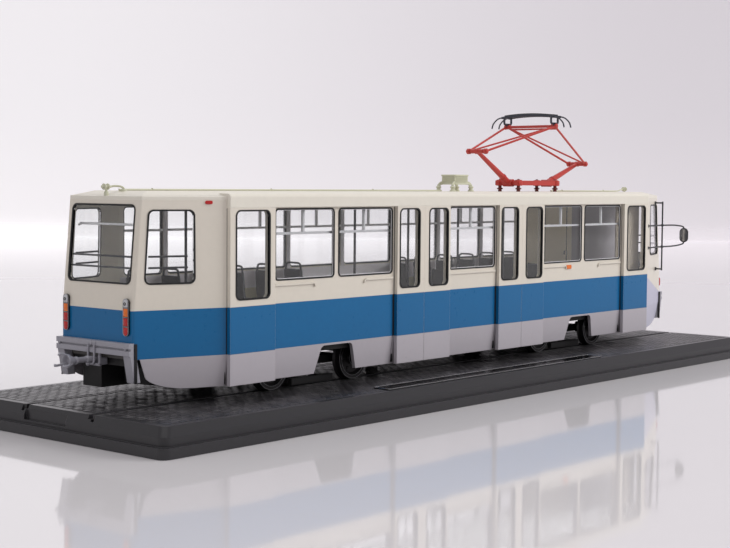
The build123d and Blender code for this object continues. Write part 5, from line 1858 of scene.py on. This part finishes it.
@dataclass
class Pantograph:
    """The folding current collector: its springs, bosses, caps and head fittings ride on their own bodies."""

    x: float = 82.8
    pivot_half: float = 15.7
    pivot_rise: float = 77.0
    half_length: float = 17.4
    half_width: float = 5.2
    rear_knuckle: tuple[float, float] = (42.406344, 91.027949)
    front_knuckle: tuple[float, float] = (125.237763, 86.573505)
    head: tuple[float, float] = (84.610869, 103.468932)
    bracket_y: float = 13.2
    bracket_low: float = 1.3
    bracket_high: float = 4.3
    bow_x: float = 2.8
    bow_half: float = 14.6
    bow: float = 0.9
    horn_y: float = 20.4

    def build(self) -> None:
        """Dresses the arms and frames and adds their small parts."""
        frames = ("panto_lower_rear", "panto_lower_front", "panto_upper_rear", "panto_upper_front")
        dress(Finishes.panto, "panto_base", *frames)
        make_piece("panto_feet_turned", self.feet(), Finishes.panto_dark, Slot.PANTO, replaces=["panto_insulators"])
        make_piece("panto_base_fittings", self.base_fittings(), Finishes.panto, Slot.PANTO)
        make_piece("panto_base_bolts", self.base_bolts(), Finishes.collector, Slot.COLLECTOR)
        make_piece("panto_springs", self.springs(), Finishes.spring, Slot.COLLECTOR)
        for name, sign, knuckle in (("rear", -1, self.rear_knuckle), ("front", 1, self.front_knuckle)):
            body = f"panto_lower_{name}_body"
            arm = merge([self.arm_clamp(*knuckle), self.arm_rib(sign, *knuckle)])
            make_piece(f"panto_arm_fittings_{name}", arm, Finishes.panto, Slot.PANTO, body)
            make_piece(f"panto_knuckle_caps_{name}", self.knuckle_caps(*knuckle), Finishes.panto, Slot.PANTO, body)
        head = merge([self.brackets(), self.bows()])
        make_piece("panto_head_shaped", head, Finishes.collector, Slot.COLLECTOR, HEAD_BODY, ["panto_head"])
        make_piece("panto_head_sleeves", self.sleeves(), Finishes.panto, Slot.PANTO, HEAD_BODY)
        make_piece("panto_contact_strips", self.contact_strips(), Finishes.spring, Slot.COLLECTOR, HEAD_BODY)

    def corners(self) -> list[tuple[float, float]]:
        """The four corners of the base frame."""
        return [(self.x + sx * (self.half_length - 2.2), sy * self.half_width) for sx, sy in CORNERS]

    def base_fittings(self) -> Shape:
        """Round bosses at the frame's four corners and end caps on its two shafts.

        Returns:
            The parts as one shape.
        """
        boss = [(1.75, -1.3), (1.85, -1.0), (1.85, 1.0), (1.6, 1.35), (0.9, 1.5)]
        parts = []
        for (sx, sy), corner in zip(CORNERS, self.corners()):
            parts.append(turned(boss, (*corner, self.pivot_rise), sides=20))
            end = (self.x + sx * self.pivot_half, sy * (self.half_width + 1.1), self.pivot_rise)
            parts.append(turned(facing([(1.25, -0.2), (1.25, 0.35), (0.9, 0.6)], sy), end, Axis.Y, 16))
        return merge(parts)

    def base_bolts(self) -> Shape:
        """Bolts on the bosses and nuts under them.

        Returns:
            The parts as one shape.
        """
        parts = []
        for corner in self.corners():
            parts.append(bolt((*corner, self.pivot_rise + 1.45), Axis.Z, 1, 0.5, 0.4))
            parts.append(bolt((*corner, self.pivot_rise - 1.25), Axis.Z, -1, 0.6, 0.5))
        return merge(parts)

    def springs(self) -> Shape:
        """Two long lifting springs between the shafts, each with straight ends.

        Returns:
            The springs as one shape.
        """
        x, low = self.x, self.pivot_rise + 0.1
        parts = []
        for y in (-3.3, 3.3):
            parts.append(coil((x - 9.0, y, low), (x + 9.0, y, low), 0.72, 0.2, 24, UPWARDS))
            for sx in SIDES:
                parts.append(bar((x + sx * 8.7, y, low), (x + sx * (self.pivot_half - 0.5), y, low), 0.2, 8))
        return merge(parts)

    def arm_clamp(self, x: float, rise: float) -> Shape:
        """The collar that clamps the arm's tip on the knuckle tube."""
        profile = [(1.05, -1.0), (1.25, -0.8), (1.25, 0.8), (1.05, 1.0)]
        return turned(profile, (x, 0.0, rise), Axis.Y, 18)

    def arm_rib(self, sign: int, tip_x: float, tip_rise: float) -> Shape:
        """A raised collar near the root of the arm.

        Args:
            sign: 1 for the front arm and -1 for the rear one.
            tip_x: where the arm's knuckle is along the track.
            tip_rise: the knuckle's height.

        Returns:
            The collar.
        """
        root = np.array([self.x + sign * self.pivot_half, 0.0, self.pivot_rise])
        along = np.array([tip_x, 0.0, tip_rise]) - root
        return bar(root + along * 0.16, root + along * 0.20, 1.62, 18, CROSSWAYS)

    def knuckle_caps(self, x: float, rise: float) -> Shape:
        """Rounded caps on the two ends of the knuckle tube."""
        cap = [(1.0, -0.1), (1.0, 0.2), (0.85, 0.42), (0.5, 0.55)]
        return merge([turned(facing(cap, side), (x, side * 5.3, rise), Axis.Y, 16) for side in SIDES])

    def feet(self) -> Shape:
        """Short dark feet with one shed each under the base frame."""
        profile = [(0.9, 0.0), (0.9, 0.5), (0.75, 0.9), (1.4, 1.15), (1.4, 1.5), (0.8, 1.8), (0.75, 3.0)]
        return merge([turned(profile, (*corner, self.pivot_rise - 4.0), sides=18) for corner in self.corners()])

    def brackets(self) -> Shape:
        """Two upright open brackets with round corners, each on a lug that turns about the head tube.

        Returns:
            The parts as one shape.
        """
        hx, hz = self.head
        ring = rounded(2 * self.bow_x, self.bracket_high - self.bracket_low, 0.7, 3)
        rise = hz + (self.bracket_high + self.bracket_low) / 2 + ring[:, 1]
        parts = []
        for y in (-self.bracket_y, self.bracket_y):
            path = np.stack([hx + ring[:, 0], np.full(len(ring), y), rise], -1)
            parts.append(sweep(path, rounded(0.9, 0.8, 0.2, 2), CROSSWAYS, looped=True))
            parts.append(rib(hx, 1.0, (y - 0.4, hz - 0.2), (y + 0.4, hz + self.bracket_low + 0.2)))
        return merge(parts)

    def sleeves(self) -> Shape:
        """Red sleeves and their end collars on the two ends of the head tube.

        Returns:
            The parts as one shape.
        """
        hx, hz = self.head
        profile = [
            (0.7, -1.6), (1.05, -1.5), (1.15, -1.1), (1.05, -0.8), (1.05, 0.9), (1.2, 1.0), (1.2, 1.35), (0.7, 1.5)]
        return merge([turned(facing(profile, s), (hx, s * self.bracket_y, hz), Axis.Y, 18) for s in SIDES])

    def bow_line(self, sx: int, lift: float, half: float, count: int) -> np.ndarray:
        """The line of a bow: height = end + bow x (1 - (y / half)^2).

        Args:
            sx: 1 for the front bow and -1 for the rear one.
            lift: how far above the bow's middle line.
            half: how far it reaches to each side.
            count: points of the line.

        Returns:
            The line's points.
        """
        hx, hz = self.head
        y = np.linspace(-half, half, count)
        rise = hz + self.bracket_high + self.bow * (1 - (y / self.bow_half) ** 2) + lift
        return np.stack([np.full(count, hx + sx * self.bow_x), y, rise], -1)

    def bows(self) -> Shape:
        """Two bowed carriers with round horns that bend down at their ends.

        Returns:
            The parts as one shape.
        """
        hx, hz = self.head
        half, horn_y = self.bow_half, self.horn_y
        horn = ((half - 1.6, 0.1), (half + 1.2, -0.1), (horn_y - 2.6, -1.0), (horn_y - 0.7, -2.9), (horn_y, -5.0))
        parts = []
        for sx in SIDES:
            parts.append(sweep(self.bow_line(sx, 0.0, half, 33), rounded(1.1, 1.15, 0.3, 2), LENGTHWAYS))
            x, top = hx + sx * self.bow_x, hz + self.bracket_high
            for side in SIDES:
                path = flowing([(x, side * y, top + rise) for y, rise in horn], 6)
                parts.append(sweep(path, circle(0.34, 8), LENGTHWAYS))
        return merge(parts)

    def contact_strips(self) -> Shape:
        """The flat wearing strips on top of the two bows."""
        lines = [self.bow_line(sx, 0.56, self.bow_half - 1.5, 25) for sx in SIDES]
        return merge([sweep(line, rounded(0.9, 0.26, 0.1, 2), LENGTHWAYS) for line in lines])


@dataclass
class RunningGear:
    """Underframe, boxes, bogies with springs and covers, and the turning wheelsets with their bright rims."""

    bogies: tuple[float, float] = (-87.0, 87.0)
    reach: float = 22.55
    axle_rise: float = 8.3
    beam_y: float = 12.9
    rail_y: float = 17.7
    tread: float = 2.2
    pad_radius: float = 4.4
    bolt_radius: float = 1.35

    def build(self) -> None:
        """Dresses the running gear and adds springs, covers, rims and box ribs."""
        dress(Finishes.frame_black, "underframe", "equipment_boxes", "bogie_rear", "bogie_front")
        dress(Finishes.wheel, "wheelset_1", "wheelset_2", "wheelset_3", "wheelset_4")
        make_piece("bogie_springs", self.coils(), Finishes.spring, Slot.FRAME)
        make_piece("equipment_ribs", self.box_ribs(), Finishes.frame_black, Slot.FRAME)
        axles = [x + sign * self.reach for x in self.bogies for sign in (-1, 1)]
        for index, x in enumerate(axles, 1):
            body = f"wheelset_{index}_body"
            make_piece(f"wheel_rims_{index}", self.rims(x), Finishes.rim, Slot.WHEEL, body)
            make_piece(f"wheel_faces_{index}", self.faces(x), Finishes.wheel, Slot.WHEEL, body)

    def coils(self) -> Shape:
        """A pair of coil springs each side of every bolster.

        Returns:
            The springs as one shape.
        """
        places = [(bogie + x, self.beam_y) for bogie in self.bogies for x in (-9.0, 9.0)]
        springs = [coil((*place, 9.9), (*place, 13.5), 1.35, 0.28, 4, LENGTHWAYS) for place in places]
        return merge([spring.both(Axis.Y) for spring in springs])

    def box_ribs(self) -> Shape:
        """Ribs on the boxes under the floor.

        Returns:
            The ribs as one shape.
        """
        parts = []
        for start, end, y in ((-42.4, -14.3, -23.5), (2.9, 22.6, -23.5), (36.9, 51.0, -22.0)):
            for x in np.linspace(start + 1.2, end - 1.2, 5):
                parts.append(rib(x, 0.3, (y - 0.25, 6.9), (y + 0.3, 12.9), 0.1))
        return merge(parts)

    def rims(self, x: float) -> Shape:
        """Thin bright rings on the wheels' outer faces: at the tread's edge, at the web and round the hub cap.

        Args:
            x: where the axle is along the track.

        Returns:
            The rings of both wheels.
        """
        centre = (x, self.rail_y + self.tread - 0.02, self.axle_rise)
        rings = [torus(centre, *size, Axis.Y, 56, 6) for size in ((7.92, 0.11), (6.72, 0.09), (2.3, 0.09))]
        return merge(rings).both(Axis.Y)

    def round_hub(self, x: float, y: float, radius: float, angle: float) -> Point:
        """A point at a radius and an angle about a wheelset's axle."""
        return x + radius * math.cos(angle), y, self.axle_rise + radius * math.sin(angle)

    def faces(self, x: float) -> Shape:
        """A domed hub cap with four bolts and six raised pads on each wheel's web, so that its turning shows.

        Args:
            x: where the axle is along the track.

        Returns:
            The caps, bolts and pads of both wheels.
        """
        face = self.rail_y + self.tread
        cap = [(1.9, -0.1), (1.9, 0.15), (1.5, 0.4), (0.7, 0.55)]
        pad = [(0.75, 0.0), (0.75, 0.35), (0.5, 0.55)]
        parts = [turned(cap, (x, face, self.axle_rise), Axis.Y, 20)]
        for angle in np.arange(6) * math.pi / 3:
            parts.append(turned(pad, self.round_hub(x, face - 1.05, self.pad_radius, angle), Axis.Y, 12))
        for angle in np.arange(4) * math.pi / 2 + math.pi / 4:
            parts.append(bolt(self.round_hub(x, face + 0.3, self.bolt_radius, angle), Axis.Y, 1, 0.2, 0.2))
        return merge(parts).both(Axis.Y)


# ---------------------------------------------------------------- studio


@dataclass
class Softbox:
    """An area lamp that looks at a point, all in metres."""

    name: str
    place: tuple[float, float, float]
    aim: tuple[float, float, float]
    size: tuple[float, float]
    power: float
    mirrored: bool = False

    def build(self) -> None:
        """Adds the lamp."""
        lamp = bpy.data.lights.new(self.name, "AREA")
        lamp.shape = "RECTANGLE"
        lamp.size, lamp.size_y = self.size
        lamp.energy = self.power
        made = bpy.data.objects.new(self.name, lamp)
        bpy.context.scene.collection.objects.link(made)
        away = np.asarray(self.place, float) - np.asarray(self.aim, float)
        made.location = self.place
        made.visible_glossy = self.mirrored
        made.rotation_mode = "QUATERNION"
        made.rotation_quaternion = Vector(away.tolist()).to_track_quat("Z", "Y")


@dataclass
class Studio:
    """Floor, backdrop, lamps, world and camera."""

    camera_place: tuple[float, float, float] = (-0.49697, -0.39663, 0.08553)
    view: tuple[float, float] = (0.759, 0.651)
    yaw: float = 40.619
    pitch: float = 3.452
    roll: float = 0.424
    focal: float = 72.95
    sensor: float = 36.0
    lamps: list[Softbox] = field(default_factory=lambda: [
        Softbox("key_softbox", (1.25, -1.25, 0.9), (0.0, 0.0, 0.05), (1.2, 0.9), 24.0),
        Softbox("top_softbox", (-0.1, 0.1, 1.5), (0.0, 0.0, 0.0), (1.8, 1.4), 7.0, True),
        Softbox("rear_softbox", (-1.5, 0.1, 0.7), (0.0, 0.0, 0.05), (0.9, 0.7), 2.0),
    ])

    def build(self) -> None:
        """Makes the studio."""
        bpy.context.scene.view_settings.view_transform = "Standard"
        self.floor()
        for lamp in self.lamps:
            lamp.build()
        self.world()
        self.camera()

    def floor(self) -> None:
        """One sheet: a floor that bends up into a backdrop behind the model, seen from the camera.

        Across, the sheet is straight. Its section is flat up to a line, then a quarter circle, then upright.
        """
        ahead = np.array([math.cos(math.radians(self.yaw)), math.sin(math.radians(self.yaw))])
        aside = np.array([ahead[1], -ahead[0]])
        bend, start, rise = 0.9, 1.7, 3.0
        flat = [(along, 0.0) for along in (-4.0, -1.0, 0.0, 1.0, start)]
        turn = np.linspace(0.0, math.pi / 2, 17)[1:]
        curve = [(start + bend * math.sin(a), bend * (1 - math.cos(a))) for a in turn]
        section = np.array(flat + curve + [(start + bend, rise)])
        across = np.linspace(-5.0, 5.0, 9)
        place = section[:, None, :1] * ahead + across[None, :, None] * aside
        height = np.broadcast_to(section[:, None, 1:], (*place.shape[:2], 1))
        points = np.concatenate([place, height], -1)
        rows, cols = points.shape[:2]
        row, col = np.meshgrid(np.arange(rows - 1), np.arange(cols - 1), indexing="ij")
        first = (row * cols + col).ravel()
        faces = np.stack([first, first + cols, first + cols + 1, first + 1], -1)[:, ::-1]
        mesh = bpy.data.meshes.new("studio_floor")
        mesh.from_pydata(points.reshape(-1, 3).tolist(), [], faces.tolist())
        mesh.shade_smooth()
        mesh.materials.append(self.floor_material())
        made = bpy.data.objects.new("studio_floor", mesh)
        bpy.context.scene.collection.objects.link(made)

    def floor_material(self) -> bpy.types.Material:
        """Pale glossy floor that turns to a matt backdrop with height, with painted light: emission that grows behind
        the model and more so on its left.

        Returns:
            The material.
        """
        made = bpy.data.materials.new("studio_paper")
        made.use_nodes = True
        hand = Nodes(made.node_tree)
        place = hand.split(hand.place())
        x, y = self.view
        ahead = hand.math("ADD", hand.math("MULTIPLY", place["X"], x), hand.math("MULTIPLY", place["Y"], y))
        aside = hand.math("SUBTRACT", hand.math("MULTIPLY", place["X"], y), hand.math("MULTIPLY", place["Y"], x))
        # Painted light: the paper glows by emission, more behind the model and on its left.
        glow = hand.mix(hand.spread(aside, -0.9, 0.7), (0.40, 0.395, 0.40), (0.18, 0.165, 0.18))
        rise = hand.spread(place["Z"], 0.0, 0.25)
        shader = hand.add("BsdfPrincipled", {
            "Base Color": hand.mix(rise, (0.76, 0.735, 0.75), (0.72, 0.70, 0.72)),
            "Roughness": hand.spread(place["Z"], 0.0, 0.05, 0.055, 0.9), "Specular IOR Level": 0.5,
            "Emission Color": hand.mix(hand.spread(ahead, 0.6, 1.9), (0.0, 0.0, 0.0), glow), "Emission Strength": 1.0})
        hand.add("OutputMaterial", {"Surface": shader.outputs[0]})
        return made

    def world(self) -> None:
        """An even pale sky."""
        world = bpy.data.worlds.new("studio_air")
        bpy.context.scene.world = world
        world.use_nodes = True
        hand = Nodes(world.node_tree)
        light = hand.add("Background", {"Color": (0.91, 0.885, 0.91, 1.0), "Strength": 0.52})
        hand.add("OutputWorld", {"Surface": light.outputs[0]})

    def camera(self) -> None:
        """The camera at the photograph's view: forward from yaw and pitch, then rolled."""
        yaw, pitch, roll = (math.radians(v) for v in (self.yaw, self.pitch, self.roll))
        ahead = np.array([math.cos(yaw) * math.cos(pitch), math.sin(yaw) * math.cos(pitch), -math.sin(pitch)])
        level = np.array([math.sin(yaw), -math.cos(yaw), 0.0])
        upright = np.cross(level, ahead)
        right = math.cos(roll) * level + math.sin(roll) * upright
        up = -math.sin(roll) * level + math.cos(roll) * upright
        turn = np.eye(4)
        turn[:3, 0], turn[:3, 1], turn[:3, 2], turn[:3, 3] = right, up, -ahead, self.camera_place
        lens = bpy.data.cameras.new("studio_camera")
        lens.lens, lens.sensor_width, lens.sensor_fit = self.focal, self.sensor, "HORIZONTAL"
        lens.clip_start, lens.clip_end = 0.01, 50.0
        made = bpy.data.objects.new("studio_camera", lens)
        bpy.context.scene.collection.objects.link(made)
        made.matrix_world = Matrix(turn.tolist())
        bpy.context.scene.camera = made


def main() -> None:
    """Builds the sub-assemblies in order, then the studio."""
    logging.basicConfig(level=logging.INFO, format="%(name)s: %(message)s")
    assemblies = (Studio, Plinth, BodyShell, Saloon, Lamps, EndGear, Mirrors, RoofGear, Pantograph, RunningGear)
    for assembly in assemblies:
        LOG.info("building %s", assembly.__name__)
        assembly().build()


if __name__ == "__main__":
    main()
